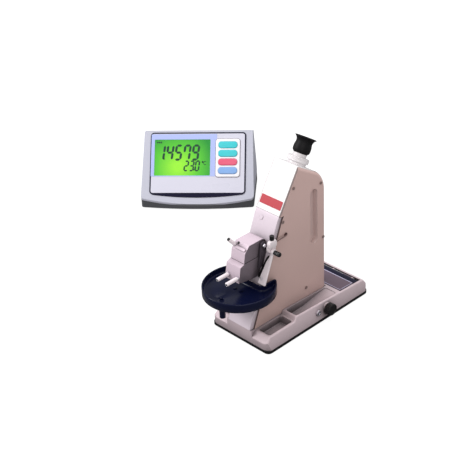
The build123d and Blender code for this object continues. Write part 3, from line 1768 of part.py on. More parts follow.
with BuildPart() as console_base:
    with BuildSketch(console_level(console_foot)):
        add(console_plan(0.2))
    extrude(amount=console_edge - console_foot - slip)
    with BuildSketch(console_side(-console_width)):
        Polygon(
            sloped(-3 * bow_up, console_wall + slip),
            sloped(console_face, console_wall + slip),
            (2 * console_depth, 0),
            (-console_depth, 0),
            align=None,
        )
    extrude(amount=2 * console_width, mode=Mode.INTERSECT)
finish(console_base, "console_base")

with BuildPart() as display_panel:
    with BuildSketch(console_face_plane(0, 0)):
        with Locations((0, panel_up)):
            RectangleRounded(panel_width, panel_height, 4.0)
        with Locations((lcd_across, lcd_up)):
            Rectangle(lcd_width, lcd_height, mode=Mode.SUBTRACT)
        with Locations((keypad_across, keypad_up)):
            Rectangle(keypad_width - 4.0, keypad_height - 4.0, mode=Mode.SUBTRACT)
    extrude(amount=panel_thickness)
finish(display_panel, "display_panel")

with BuildPart() as display_glass:
    with BuildSketch(console_face_plane(lcd_across, lcd_up, panel_thickness - 0.4)):
        Rectangle(lcd_width, lcd_height)
    extrude(amount=-lcd_thickness)
finish(display_glass, "display_glass")

key_rows = [(row - (key_count - 1) / 2) * key_pitch for row in range(key_count)]
with BuildPart() as keypad_frame:
    with BuildSketch(console_face_plane(keypad_across, keypad_up, panel_thickness)):
        RectangleRounded(keypad_width, keypad_height, 2.0)
        for up in key_rows:
            with Locations((0, up)):
                RectangleRounded(
                    key_width + 2 * key_gap,
                    key_height + 2 * key_gap,
                    key_corner,
                    mode=Mode.SUBTRACT,
                )
    extrude(amount=keypad_thickness)
finish(keypad_frame, "keypad_frame")

key_top = panel_thickness + keypad_thickness + key_rise
key_bottom = key_travel + key_clearance - board_depth
for number, up in enumerate(reversed(key_rows), start=1):
    with BuildPart() as key:
        with BuildSketch(console_face_plane(keypad_across, keypad_up + up, key_bottom)):
            RectangleRounded(key_width, key_height, key_corner)
        extrude(amount=key_top - key_bottom)
        chamfer(key.faces().sort_by(Axis.Z)[-1].edges(), key_chamfer)
    finish(key, f"key_{number}")

with BuildPart() as console_board:
    with BuildSketch(console_face_plane(0, panel_up, -board_depth)):
        Rectangle(panel_width, panel_height)
    extrude(amount=-board_thickness)
finish(console_board, "console_board")

# Rubber feet of both pieces
with BuildPart() as feet:
    with BuildSketch(level(0)):
        with Locations(*foot_spots):
            Circle(foot_radius)
    extrude(amount=foot_height)
    with BuildSketch(console_level(0)):
        with Locations((0, console_depth / 2)):
            with GridLocations(
                console_width - 2 * console_foot_inset, console_depth - 2 * console_foot_inset, 2, 2
            ):
                Circle(console_foot_radius)
    extrude(amount=console_foot)
finish(feet, "feet")
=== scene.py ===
# Abbe refractometer with its display console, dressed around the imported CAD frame.
# Lengths in the dictionaries are millimetres and angles degrees, unless a note says otherwise.
import bpy
import bmesh
import numpy as np
from math import cos, radians, sin
from mathutils import Matrix, Vector


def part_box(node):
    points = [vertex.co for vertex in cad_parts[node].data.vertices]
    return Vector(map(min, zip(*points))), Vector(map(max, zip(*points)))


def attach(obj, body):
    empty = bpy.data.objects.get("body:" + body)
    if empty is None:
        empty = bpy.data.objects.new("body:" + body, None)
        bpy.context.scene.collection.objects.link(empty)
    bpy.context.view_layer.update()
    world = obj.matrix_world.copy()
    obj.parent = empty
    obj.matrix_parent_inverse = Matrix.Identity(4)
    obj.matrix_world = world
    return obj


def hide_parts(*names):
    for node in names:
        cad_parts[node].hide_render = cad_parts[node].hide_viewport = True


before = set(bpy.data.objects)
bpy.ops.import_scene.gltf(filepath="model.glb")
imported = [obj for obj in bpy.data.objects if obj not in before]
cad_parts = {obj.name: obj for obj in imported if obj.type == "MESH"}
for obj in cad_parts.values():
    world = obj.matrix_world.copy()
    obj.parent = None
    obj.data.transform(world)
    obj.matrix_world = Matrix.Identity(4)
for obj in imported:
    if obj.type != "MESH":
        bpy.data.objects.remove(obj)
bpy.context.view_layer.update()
scene = bpy.context.scene
mm = 0.001

# Where the two pieces of the set stand on the bench, and the line of sight up the telescope
instrument = {"x": 221.29, "y": -172.067}
console = {"x": -359.5, "y": 241.2, "yaw": 41.7, "lean": 42.0, "edge": 22.0}
sight = {"y": 135.4, "z": 259.1, "lean": 31.4}


def unit(v):
    return np.asarray(v, float) / np.linalg.norm(v)


def plane(origin, across, normal):
    # A right-handed plane: its origin, and across, up and normal as unit arrows
    across, normal = unit(across), unit(normal)
    return {"o": np.asarray(origin, float), "u": across, "v": np.cross(normal, across), "n": normal}


def levelAt(origin):
    return plane(origin, (1, 0, 0), (0, 0, 1))


def sideAt(origin, hand=1):
    # Looks right, or left for a hand of -1, with the depth axis across it
    return plane(origin, (0, 1, 0), (hand, 0, 0))


def leaning(origin, lean):
    # Looks forward and up by the lean
    return plane(origin, (1, 0, 0), (0, -cos(radians(lean)), sin(radians(lean))))


def onInstrument(x, y, z):
    return np.array([instrument["x"] + x, instrument["y"] + y, z], float)


def sightPlane():
    lean = radians(sight["lean"])
    return plane(onInstrument(0, sight["y"], sight["z"]), (1, 0, 0), (0, sin(lean), cos(lean)))


def consoleAxes():
    # The console's own right and rear, level
    yaw = radians(console["yaw"])
    return np.array([cos(yaw), sin(yaw), 0]), np.array([-sin(yaw), cos(yaw), 0])


def facePlane(across=0.0, up=0.0, out=0.0):
    # The console's sloping face: across it, up the slope, and out of it
    lean = radians(console["lean"])
    right, rear = consoleAxes()
    normal = -rear * cos(lean) + np.array([0, 0, sin(lean)])
    slope = rear * sin(lean) + np.array([0, 0, cos(lean)])
    foot = onInstrument(console["x"], console["y"], console["edge"])
    return plane(foot + right * across + slope * up + normal * out, right, normal)


# Camera
camera = {"place": (1.30032, -1.174267, 1.07704),  # metres
          "azimuth": 47.2422, "elevation": 30.8365, "roll": -2.8113, "lens": 88.97, "sensor": 36.0,
          "clip": (0.05, 50)}


def addCamera(c):
    a, e, r = radians(c["azimuth"]), radians(c["elevation"]), radians(c["roll"])
    right = np.array([cos(a), sin(a), 0])
    ahead = np.array([-sin(a) * cos(e), cos(a) * cos(e), -sin(e)])
    up = np.array([-sin(a) * sin(e), cos(a) * sin(e), cos(e)])
    x = right * cos(r) + up * sin(r)
    y = -right * sin(r) + up * cos(r)
    data = bpy.data.cameras.new("viewCamera")
    data.lens, data.sensor_width, data.sensor_fit = c["lens"], c["sensor"], "HORIZONTAL"
    data.clip_start, data.clip_end = c["clip"]
    turn = Matrix((x.tolist(), y.tolist(), (-ahead).tolist())).transposed()
    obj = newObject("viewCamera", data)
    obj.matrix_world = Matrix.Translation(c["place"]) @ turn.to_4x4()
    scene.camera = obj


def newObject(name, data):
    obj = bpy.data.objects.new(name, data)
    scene.collection.objects.link(obj)
    return obj


addCamera(camera)
scene.view_settings.view_transform = "Standard"
print("camera placed")


# Colours and shader groups
grey = (0.5, 0.5, 0.5, 1.0)


def tone(r, g, b):
    # Screen values from 0 to 255 to the linear colour that a shader takes
    c = np.array([r, g, b]) / 255
    return tuple(np.where(c <= 0.04045, c / 12.92, ((c + 0.055) / 1.055) ** 2.4)) + (1.0,)


class Tree:
    # Short calls that add, fill and join the nodes of one tree
    def __init__(self, tree):
        self.tree = tree

    def put(self, socket, value):
        # A link where the value is another node's output, or else a plain value
        if hasattr(value, "links"):
            self.tree.links.new(value, socket)
        else:
            socket.default_value = value

    def fill(self, node, **values):
        for name, value in values.items():
            self.put(node.inputs[name.replace("_", " ")], value)
        return node

    def add(self, kind, **settings):
        node = self.tree.nodes.new("ShaderNode" + kind)
        for name in [key for key in settings if hasattr(node, key)]:
            setattr(node, name, settings.pop(name))
        return self.fill(node, **settings)

    def place(self, group, **values):
        return self.fill(self.add("Group", node_tree=group), **values).outputs

    def maths(self, operation, a, b):
        node = self.add("Math", operation=operation)
        for socket, value in zip(node.inputs, (a, b)):
            self.put(socket, value)
        return node.outputs[0]

    def vectors(self, operation, a, b=None):
        node = self.add("VectorMath", operation=operation)
        self.put(node.inputs[0], a)
        if b is not None:
            self.put(node.inputs["Scale" if operation == "SCALE" else 1], b)
        return node.outputs["Value" if operation in ("DOT_PRODUCT", "LENGTH") else "Vector"]

    def sway(self, noise, amount):
        # (noise - 0.5) * amount
        return self.maths("MULTIPLY", self.maths("SUBTRACT", noise, 0.5), amount)

    def spread(self, value, low, high, lowOut=0.0, highOut=1.0):
        # From low to high becomes from lowOut to highOut, and is held past either end
        node = self.add("MapRange", Value=value, From_Min=low, From_Max=high, To_Min=lowOut, To_Max=highOut)
        return node.outputs["Result"]

    def mix(self, factor, a, b):
        node = self.add("Mix", data_type="RGBA")
        for number, value in ((0, factor), (6, a), (7, b)):  # the sockets that a colour mix uses
            self.put(node.inputs[number], value)
        return node.outputs[2]

    def noise(self, vector, scale, detail=2.0, roughness=0.5):
        node = self.add("TexNoise", Vector=vector, Scale=scale, Detail=detail, Roughness=roughness)
        return node.outputs["Fac"]


def makeGroup(name, inputs, *outputs):
    # A shader node group. Its inputs are names with defaults, which also tell each socket's kind
    group = bpy.data.node_groups.new(name, "ShaderNodeTree")
    for label, default in {"Vector": None, **inputs}.items():
        kind = "Float" if isinstance(default, float) else "Color" if default and len(default) == 4 else "Vector"
        socket = group.interface.new_socket(name=label, in_out="INPUT", socket_type="NodeSocket" + kind)
        if default is not None:
            socket.default_value = default
    for label in outputs:
        kind = {"Colour": "Color", "Normal": "Vector"}.get(label, "Float")
        group.interface.new_socket(name=label, in_out="OUTPUT", socket_type="NodeSocket" + kind)
    given, sink = group.nodes.new("NodeGroupInput").outputs, group.nodes.new("NodeGroupOutput")
    return group, Tree(group), given, sink


def makePaintFilm():
    # Slow drift of tone and fine orange peel: colour * (1 + (slow - 0.5) * drift + (fine - 0.5) * drift / 2)
    group, t, given, sink = makeGroup("paintFilm", {"Colour": grey, "Drift": 0.08, "Grain": 900.0, "Gloss": 0.4},
                                      "Colour", "Roughness", "Height")
    slow = t.noise(given["Vector"], 9.0, 3.0)
    fine = t.noise(given["Vector"], given["Grain"])
    shift = t.maths("ADD", t.sway(slow, given["Drift"]), t.sway(fine, t.maths("MULTIPLY", given["Drift"], 0.5)))
    t.fill(sink, Colour=t.vectors("SCALE", given["Colour"], t.maths("ADD", 1.0, shift)),
           Roughness=t.maths("ADD", given["Gloss"], t.sway(slow, 0.18)), Height=fine)
    return group


def makeEdgeWear():
    # An edge is where the true normal and one rounded over a small radius part, and a noise breaks it
    # into short rubbed stretches: mask = edge * stretch * amount
    group, t, given, sink = makeGroup("edgeWear", {"Colour": grey, "Bare": (0.7, 0.7, 0.7, 1.0), "Amount": 0.4},
                                      "Colour", "Normal")
    rounded = t.add("Bevel", samples=4, Radius=0.0007).outputs["Normal"]
    likeness = t.vectors("DOT_PRODUCT", rounded, t.add("NewGeometry").outputs["Normal"])
    edge = t.spread(likeness, 0.995, 0.90)
    stretch = t.spread(t.noise(given["Vector"], 120.0, 3.0), 0.42, 0.62)
    mask = t.maths("MULTIPLY", t.maths("MULTIPLY", edge, stretch), given["Amount"])
    t.fill(sink, Colour=t.mix(mask, given["Colour"], given["Bare"]), Normal=rounded)
    return group


def makeDustVeil():
    # Pale dust where a face looks up, thicker where a slow noise is high: mask = up * drift * amount
    group, t, given, sink = makeGroup("dustVeil", {"Colour": grey, "Dust": (0.75, 0.72, 0.7, 1.0), "Amount": 0.1},
                                      "Colour")
    normal = t.add("SeparateXYZ", Vector=t.add("NewGeometry").outputs["Normal"]).outputs
    up = t.spread(normal["Z"], 0.3, 1.0)
    drift = t.spread(t.noise(given["Vector"], 24.0, 4.0, 0.6), 0.35, 0.7, 0.2, 1.0)
    mask = t.maths("MULTIPLY", t.maths("MULTIPLY", up, drift), given["Amount"])
    t.fill(sink, Colour=t.mix(mask, given["Colour"], given["Dust"]))
    return group


def makeBrushedGrain():
    # Fine parallel scratches, a noise stretched along the piece: colour * (1 + (scratch - 0.5) * depth)
    group, t, given, sink = makeGroup("brushedGrain", {"Colour": (0.6, 0.6, 0.6, 1.0), "Stretch": (60.0, 60.0, 2500.0),
                                                       "Gloss": 0.3, "Depth": 0.1}, "Colour", "Roughness", "Height")
    scratch = t.noise(t.vectors("MULTIPLY", given["Vector"], given["Stretch"]), 1.0, 4.0, 0.6)
    value = t.maths("ADD", 1.0, t.sway(scratch, given["Depth"]))
    t.fill(sink, Colour=t.vectors("SCALE", given["Colour"], value),
           Roughness=t.maths("ADD", given["Gloss"], t.sway(scratch, 0.2)), Height=scratch)
    return group


paintFilm, edgeWear, dustVeil, brushedGrain = makePaintFilm(), makeEdgeWear(), makeDustVeil(), makeBrushedGrain()


def emptyTree(owner):
    owner.use_nodes = True
    owner.node_tree.nodes.clear()
    return Tree(owner.node_tree)


def newMaterial(name):
    material = bpy.data.materials.new(name)
    t = emptyTree(material)
    shader = t.add("BsdfPrincipled")
    t.add("OutputMaterial", Surface=shader.outputs[0])
    return material, t, shader, t.add("TexCoord").outputs["Object"]


def finishShader(t, shader, colour, film, worn, bump, depth):
    # Colour, roughness and a fine bump on the normal that the edge wear has rounded
    lump = t.add("Bump", Strength=bump, Distance=depth, Height=film["Height"], Normal=worn["Normal"])
    t.fill(shader, Base_Color=colour, Roughness=film["Roughness"], Normal=lump.outputs[0])


# Painted shade in hollows, with a little grime: its reach, strength and colour
shadeAndGrime = {"reach": 0.035, "strength": 1.4, "colour": (0.012, 0.010, 0.012, 1.0)}  # reach in metres


def paintMaterial(name, colour, gloss=0.4, drift=0.08, grain=900.0, bump=0.04, wear=0.3, bare=(232, 226, 224),
                  dust=0.08, metallic=0.0, specular=0.5, shade=0.0):
    # Paint or moulded plastic: film, rubbed edges, a veil of dust, painted shade in hollows where a shade is given,
    # and a fine bump
    material, t, shader, where = newMaterial(name)
    film = t.place(paintFilm, Vector=where, Colour=tone(*colour), Drift=drift, Grain=grain, Gloss=gloss)
    worn = t.place(edgeWear, Vector=where, Colour=film["Colour"], Bare=tone(*bare), Amount=wear)
    colour = t.place(dustVeil, Vector=where, Colour=worn["Colour"], Amount=dust)["Colour"]
    if shade:
        # Painted shade in hollows, with a little grime: its share is (1 - openness) * strength * shade, with openness
        # taken over its reach
        openness = t.add("AmbientOcclusion", samples=8, Distance=shadeAndGrime["reach"]).outputs["AO"]
        closed = t.maths("MULTIPLY", t.maths("SUBTRACT", 1.0, openness), shadeAndGrime["strength"] * shade)
        colour = t.mix(t.maths("MINIMUM", closed, 1.0), colour, shadeAndGrime["colour"])
    finishShader(t, shader, colour, film, worn, bump, 0.0004)
    t.fill(shader, Metallic=metallic, Specular_IOR_Level=specular)
    return material


def metalMaterial(name, colour, gloss=0.3, stretch=(60, 60, 2500), depth=0.15, bump=0.05, wear=0.25,
                  bare=(240, 238, 236), metallic=1.0):
    # Turned, milled or plated metal with fine scratches and bright edges
    material, t, shader, where = newMaterial(name)
    grain = t.place(brushedGrain, Vector=where, Colour=tone(*colour), Stretch=stretch, Gloss=gloss, Depth=depth)
    worn = t.place(edgeWear, Vector=where, Colour=grain["Colour"], Bare=tone(*bare), Amount=wear)
    finishShader(t, shader, worn["Colour"], grain, worn, bump, 0.0002)
    t.fill(shader, Metallic=metallic)
    return material


def glassMaterial(name):
    # Clear glass with faint smears in its roughness
    material, t, shader, where = newMaterial(name)
    smear = t.spread(t.noise(where, 60.0, 3.0), 0.3, 0.8, 0.03, 0.09)
    t.fill(shader, Base_Color=tone(250, 252, 255), Roughness=smear, Transmission_Weight=0.9, IOR=1.5)
    return material


moulded = {"gloss": 0.38, "drift": 0.05, "grain": 1500.0}
# Grain and bump of machined metal, and a strong painted shade in hollows
machined = {"grain": 1600.0, "bump": 0.03, "shade": 0.8}
printed = {"bump": 0.01, "dust": 0.02}
paints = {
    "towerPaint": {"colour": (218, 187, 181), "gloss": 0.42, "metallic": 0.2, "shade": 0.4},
    "basePaint": {"colour": (213, 195, 201), "gloss": 0.55, "metallic": 0.1, "shade": 0.9, "specular": 0.35},
    # The grip pockets' paint, lighter than the tower's: painted light on the pocket walls
    "pocketLitPaint": {"colour": (226, 203, 199), "metallic": 0.1, "dust": 0.0, "shade": 0.2},
    "rimShade": {"colour": (96, 80, 78), "gloss": 0.45, "wear": 0.1, "metallic": 0.2},
    "whitePaint": {"colour": (238, 236, 237), "gloss": 0.38, "wear": 0.15, "drift": 0.03, "dust": 0.03},
    "armWhite": {"colour": (236, 226, 230), "wear": 0.15, "drift": 0.04, "dust": 0.02},
    "panelPaint": {"colour": (222, 209, 219), "gloss": 0.36, "wear": 0.2, "drift": 0.04, "shade": 0.4},
    "mauvePaint": {"colour": (98, 80, 95), "gloss": 0.36, "shade": 0.5, "dust": 0.03, "specular": 0.35},
    "lidLine": {"colour": (186, 180, 208), "gloss": 0.3, "wear": 0.1, "drift": 0.05, "dust": 0.02},
    "darkPlate": {"colour": (12, 11, 14), "gloss": 0.5, "bare": (60, 58, 60), "wear": 0.1, "dust": 0.02,
                  "specular": 0.3},
    "blackRubber": {"colour": (8, 7, 10), "gloss": 0.5, "grain": 1400.0, "bump": 0.06, "bare": (30, 28, 34),
                    "wear": 0.08, "dust": 0.005, "specular": 0.15},
    "whitePlastic": {"colour": (226, 222, 224), "gloss": 0.3, "wear": 0.12, "drift": 0.04},
    "blackPlastic": {"colour": (9, 8, 11), "gloss": 0.34, "bare": (60, 58, 62), "wear": 0.15, "dust": 0.015,
                     "specular": 0.35},
    "bushBrown": {"colour": (74, 46, 44), "gloss": 0.45, "wear": 0.1, "bare": (120, 100, 96), "dust": 0.02},
    "leadGrey": {"colour": (112, 88, 84), "gloss": 0.5, "wear": 0.0, "dust": 0.02},
    # Black that paints shade: in the seam between the prism boxes and deep in the hose bores
    "shadeBlack": {"colour": (10, 9, 11), "gloss": 0.7, "wear": 0.0, "dust": 0.0},
    "circuitBoard": {"colour": (22, 92, 58), "drift": 0.2},
    "prismMetal": {"colour": (214, 196, 208), "gloss": 0.58, "metallic": 0.1, "wear": 0.15,
                   "bare": (240, 232, 238), "dust": 0.03, **machined},
    # Darker copies of the prism boxes' metal for their side faces and cheeks: painted shade on the faces turned away
    # from the key lamp
    "prismShadedSide": {"colour": (132, 121, 130), "metallic": 0.5, "wear": 0.2, "bare": (200, 190, 198), "dust": 0.03,
                  **machined},
    "cheekShadedMetal": {"colour": (84, 76, 86), "gloss": 0.45, "metallic": 0.3, "wear": 0.1, "bare": (130, 120, 130),
                   "dust": 0.01, **machined},
    "navyEnamel": {"colour": (11, 16, 44), "gloss": 0.2, "wear": 0.12, "bare": (60, 70, 100), "bump": 0.015,
                   "drift": 0.3, "dust": 0.0, "specular": 0.14},
    "redFilm": {"colour": (178, 10, 38), "gloss": 0.35, "wear": 0.1, "drift": 0.05, **printed},
    "consoleGrey": {"colour": (190, 192, 206), "gloss": 0.42, "drift": 0.03, "grain": 1300.0, "bump": 0.06,
                    "wear": 0.2},
    "consoleDark": {"colour": (82, 84, 88), "gloss": 0.5, "grain": 1300.0, "bump": 0.08, "bare": (150, 150, 154)},
    "panelFilm": {"colour": (212, 212, 226), "gloss": 0.28, "drift": 0.02, "bump": 0.01, "wear": 0.1, "dust": 0.0},
    "surroundBlue": {"colour": (176, 190, 240), "gloss": 0.22, "drift": 0.03, "wear": 0.0, **printed},
    "outlineNavy": {"colour": (12, 11, 40), "bump": 0.02, "wear": 0.1, "bare": (70, 72, 90), "dust": 0.0,
                    "specular": 0.15},
    "lcdInk": {"colour": (12, 62, 40), "gloss": 0.3, "drift": 0.1, "bump": 0.0, "wear": 0.0, "dust": 0.0},
    "keypadWhite": {"colour": (243, 243, 248), "gloss": 0.35, "drift": 0.02, "bump": 0.02, "wear": 0.1},
    "keyTeal": {"colour": (44, 200, 208), "bare": (190, 232, 236), **moulded},
    "keyRed": {"colour": (226, 84, 118), "bare": (246, 190, 204), **moulded},
    "keyBlue": {"colour": (128, 172, 228), "bare": (204, 220, 244), **moulded},
}
metals = {
    "groundSteel": {"colour": (168, 166, 170), "gloss": 0.32},
    "turnedBrass": {"colour": (198, 164, 98)},
    "castAluminium": {"colour": (176, 172, 176), "gloss": 0.48, "stretch": (500, 500, 500), "depth": 0.12,
                      "bump": 0.12},
    "darkScrew": {"colour": (142, 122, 118), "gloss": 0.45, "bare": (170, 152, 148), "metallic": 0.5},
    "platedBrass": {"colour": (226, 223, 230), "gloss": 0.2, "stretch": (900, 40, 900), "depth": 0.08},
    "mirrorGlass": {"colour": (236, 240, 244), "gloss": 0.06, "depth": 0.02, "bump": 0.0, "wear": 0.0},
}
materials = {name: paintMaterial(name, **look) for name, look in paints.items()}
materials.update({name: metalMaterial(name, **look) for name, look in metals.items()})
materials["opticalGlass"] = glassMaterial("opticalGlass")

backlight = {"middle": (-38.0, 62.0), "reach": 0.075, "cloud": 0.012, "glow": 0.3,  # reach and cloud in metres
             "stops": ((0.10, (136, 214, 44)), (0.55, (76, 178, 40)), (0.95, (20, 132, 40)))}


def makeDisplayGreen(d):
    # Backlit green, lightest low and left: the colour follows the distance from the light's middle plus a cloud
    material, t, shader, where = newMaterial("displayGreen")
    middle = tuple(facePlane(*d["middle"])["o"] * mm)
    far = t.vectors("LENGTH", t.vectors("SUBTRACT", where, middle))
    spot = t.maths("ADD", far, t.sway(t.noise(where, 30.0), d["cloud"]))
    ramp = t.add("ValToRGB", Fac=t.spread(spot, 0.0, d["reach"]))
    stops = ramp.color_ramp.elements
    stops.new(0.5)
    for stop, (place, colour) in zip(stops, d["stops"]):
        stop.position, stop.color = place, tone(*colour)
    t.fill(shader, Base_Color=ramp.outputs["Color"], Emission_Color=ramp.outputs["Color"],
           Emission_Strength=d["glow"], Roughness=0.14, Coat_Weight=0.3)
    return material


materials["displayGreen"] = makeDisplayGreen(backlight)
print("materials made:", len(materials))


# Mesh makers
def gridFaces(count, around, first=0):
    # Quads between closed loops: point (i, j) joins (i, j+1), (i+1, j+1) and (i+1, j), with j going round
    i, j = np.meshgrid(np.arange(count - 1), np.arange(around), indexing="ij")
    k = (j + 1) % around
    quads = np.stack([i * around + j, i * around + k, (i + 1) * around + k, (i + 1) * around + j], -1)
    return (first + quads.reshape(-1, 4)).tolist()


def smoothed(mesh, sharp):
    mesh.shade_smooth()
    mesh.set_sharp_from_angle(angle=radians(sharp))
    return mesh


def merged(parts):
    # The parts' meshes in one, and the parts themselves gone
    work = bmesh.new()
    for part in parts:
        work.from_mesh(part.data)
        bpy.data.objects.remove(part)
    return work


def written(name, work):
    mesh = bpy.data.meshes.new(name)
    work.to_mesh(mesh)
    work.free()
    return mesh


def finishMesh(name, mesh, sharp=40.0):
    # Outward faces, joined doubles, smooth shading with sharp edges by angle
    work = bmesh.new()
    work.from_mesh(mesh)
    bmesh.ops.remove_doubles(work, verts=work.verts, dist=2e-6)
    bmesh.ops.recalc_face_normals(work, faces=work.faces)
    work.to_mesh(mesh)
    work.free()
    return newObject(name, smoothed(mesh, sharp))


def joined(name, parts):
    return newObject(name, smoothed(written(name, merged(parts)), 40))


def meshFromGrid(name, rows, caps=(True, True), sharp=40.0):
    # A grid of closed loops, with a flat face over the first and the last loop where the caps ask for it
    count, around = rows.shape[:2]
    faces = gridFaces(count, around)
    if caps[0]:
        faces.append(list(range(around))[::-1])
    if caps[1]:
        faces.append(list(range((count - 1) * around, count * around)))
    mesh = bpy.data.meshes.new(name)
    mesh.from_pydata((rows.reshape(-1, 3) * mm).tolist(), [], faces)
    return finishMesh(name, mesh, sharp)


def dress(obj, body, material, slot, *nodes):
    # Material, body and the CAD nodes that the piece stands for; the record slot is not used
    obj.data.materials.clear()
    obj.data.materials.append(materials[material])
    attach(obj, body)
    if nodes:
        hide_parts(*nodes)
    return obj


def inPlane(p, u, v, n):
    # Point = origin + u across + v up + n normal, for whole arrays of u, v and n
    u, v, n = np.broadcast_arrays(u, v, n)
    return p["o"] + u[..., None] * p["u"] + v[..., None] * p["v"] + n[..., None] * p["n"]


def lifted(p, loop, *heights):
    # The same flat loop at each height over the plane
    return np.array([inPlane(p, *loop.T, height) for height in heights])


def outline(corners, radii, inset=0.0, steps=6):
    # Rounded polygon: each side moves inwards by the inset, and each corner becomes an arc whose centre is the
    # bisector point at radius / sin(half angle), its radius less the inset, or more at a hollow corner
    points = np.asarray(corners, float)
    before, after = np.roll(points, 1, 0), np.roll(points, -1, 0)
    area = np.sum(points[:, 0] * after[:, 1] - after[:, 0] * points[:, 1])
    if area < 0:
        return outline(points[::-1], np.broadcast_to(radii, len(points))[::-1], inset, steps)
    into = (points - before) / np.linalg.norm(points - before, axis=1)[:, None]
    out = (after - points) / np.linalg.norm(after - points, axis=1)[:, None]
    turn = np.arctan2(into[:, 0] * out[:, 1] - into[:, 1] * out[:, 0], np.sum(into * out, 1))
    side = np.sign(turn)
    radius = np.maximum(np.broadcast_to(radii, len(points)), 1e-3)
    reach = radius * np.tan(np.abs(turn) / 2)
    left = np.stack([-into[:, 1], into[:, 0]], 1)
    centre = points - into * reach[:, None] + left * (side * radius)[:, None]
    start = np.arctan2(-left[:, 1] * side, -left[:, 0] * side)
    angle = start[:, None] + turn[:, None] * np.linspace(0, 1, steps)
    size = np.maximum(radius - side * inset, 0.0)[:, None, None]
    arc = centre[:, None] + size * np.stack([np.cos(angle), np.sin(angle)], -1)
    # Where the inset is more than the radius, the corner goes on inwards as a point on its bisector
    short = np.minimum(radius - side * inset, 0.0)[:, None, None]
    half = turn[:, None] / 2 + start[:, None]
    arc = arc + short / np.cos(turn / 2)[:, None, None] * np.stack([np.cos(half), np.sin(half)], -1)
    return arc.reshape(-1, 2)


def slab(name, p, corners, radii, low, high, edge, lowEdge, steps=6, bend=4):
    # A plate with rounded rims: the outline at each height of a profile that runs a quarter circle in at the
    # low rim, up the side, and a quarter circle in at the high rim, closed by its two faces
    quarter = np.linspace(0, np.pi / 2, bend)
    insets = np.concatenate([lowEdge * (1 - np.sin(quarter)), edge * (1 - np.cos(quarter))])
    heights = np.concatenate([low + lowEdge * (1 - np.cos(quarter)), high - edge + edge * np.sin(quarter)])
    rows = [inPlane(p, *outline(corners, radii, inset, steps).T, height) for inset, height in zip(insets, heights)]
    return meshFromGrid(name, np.array(rows))


def turnedPiece(name, p, profile, segments, wave=None):
    # A turned piece round the plane's normal, where wave(angle, profile) may add a depth to the radius:
    # point = (r + wave) cos a, (r + wave) sin a, h
    profile = np.asarray(profile, float)
    angle = np.linspace(0, 2 * np.pi, segments, endpoint=False)
    radius = np.repeat(profile[:, :1], segments, 1)
    if wave is not None:
        radius = radius + wave(angle[None, :], profile)
    rows = inPlane(p, radius * np.cos(angle), radius * np.sin(angle), profile[:, 1:2])
    return meshFromGrid(name, rows, (False, False), 35.0)


def rect(width, height, across=0.0, up=0.0):
    w, h = width / 2, height / 2
    return [(across - w, up - h), (across + w, up - h), (across + w, up + h), (across - w, up + h)]


def faceValues(mesh, name, width=1):
    values = np.empty(len(mesh.polygons) * width)
    mesh.polygons.foreach_get(name, values)
    return values.reshape(-1, width) if width > 1 else values


def flatNormals(mesh, least=150.0, angle=34.0):
    # A normal for each corner of each face: its own on a flat area larger than the least, in square mm, that
    # area's on a curve which runs into it, and otherwise the mean of the faces round the point within the angle
    normals, middles, areas = faceValues(mesh, "normal", 3), faceValues(mesh, "center", 3), faceValues(mesh, "area")
    offset = np.sum(normals * middles, 1)
    likeFaces = np.round(np.column_stack([normals * 300, offset / mm * 8]))
    region = np.unique(likeFaces, axis=0, return_inverse=True)[1].ravel()
    flat = np.bincount(region, areas)[region] > least * mm**2
    corner, size = np.empty(len(mesh.loops), np.int32), np.empty(len(areas), np.int32)
    mesh.loops.foreach_get("vertex_index", corner)
    mesh.polygons.foreach_get("loop_total", size)
    owner = np.repeat(np.arange(len(areas)), size)
    order = np.argsort(corner, kind="stable")
    groups = np.split(owner[order], np.cumsum(np.bincount(corner))[:-1])
    out = np.empty((len(corner), 3))
    for n, (point, face) in enumerate(zip(corner, owner)):
        near = groups[point]
        close = near[normals[near] @ normals[face] > cos(radians(angle))]
        if flat[face]:
            out[n] = normals[face]
        elif flat[close].any():
            out[n] = normals[close[flat[close]][0]]
        else:
            out[n] = areas[close] @ normals[close]
    return (out / np.linalg.norm(out, axis=1)[:, None]).tolist()


def outermost(work):
    # Which faces have no point of the piece in front of them
    points = np.array([v.co for v in work.verts])
    normals = np.array([f.normal for f in work.faces])
    feet = np.array([f.verts[0].co for f in work.faces])
    return (points @ normals.T - np.sum(feet * normals, 1)).max(0) < 0.0004


def edgeChains(sharp, straight=0.75):
    # Runs of sharp edges, each going on where the cosine of its turn is over the straight one
    seen = set()
    for first in sorted(sharp, key=lambda e: e.index):
        if first in seen:
            continue
        chain, queue = [], [first]
        seen.add(first)
        while queue:
            here = queue.pop()
            chain.append(here)
            for vert in here.verts:
                for other in [e for e in vert.link_edges if e in sharp and e not in seen]:
                    a = (vert.co - here.other_vert(vert).co).normalized()
                    b = (other.other_vert(vert).co - vert.co).normalized()
                    if a.dot(b) > straight:
                        seen.add(other)
                        queue.append(other)
        yield chain


rounding = {"doubles": 4e-6, "joined": 1.2, "sharp": 28.0, "reach": 22.0, "shading": 34.0, "segments": 3,
            "evenness": 80}  # doubles in metres


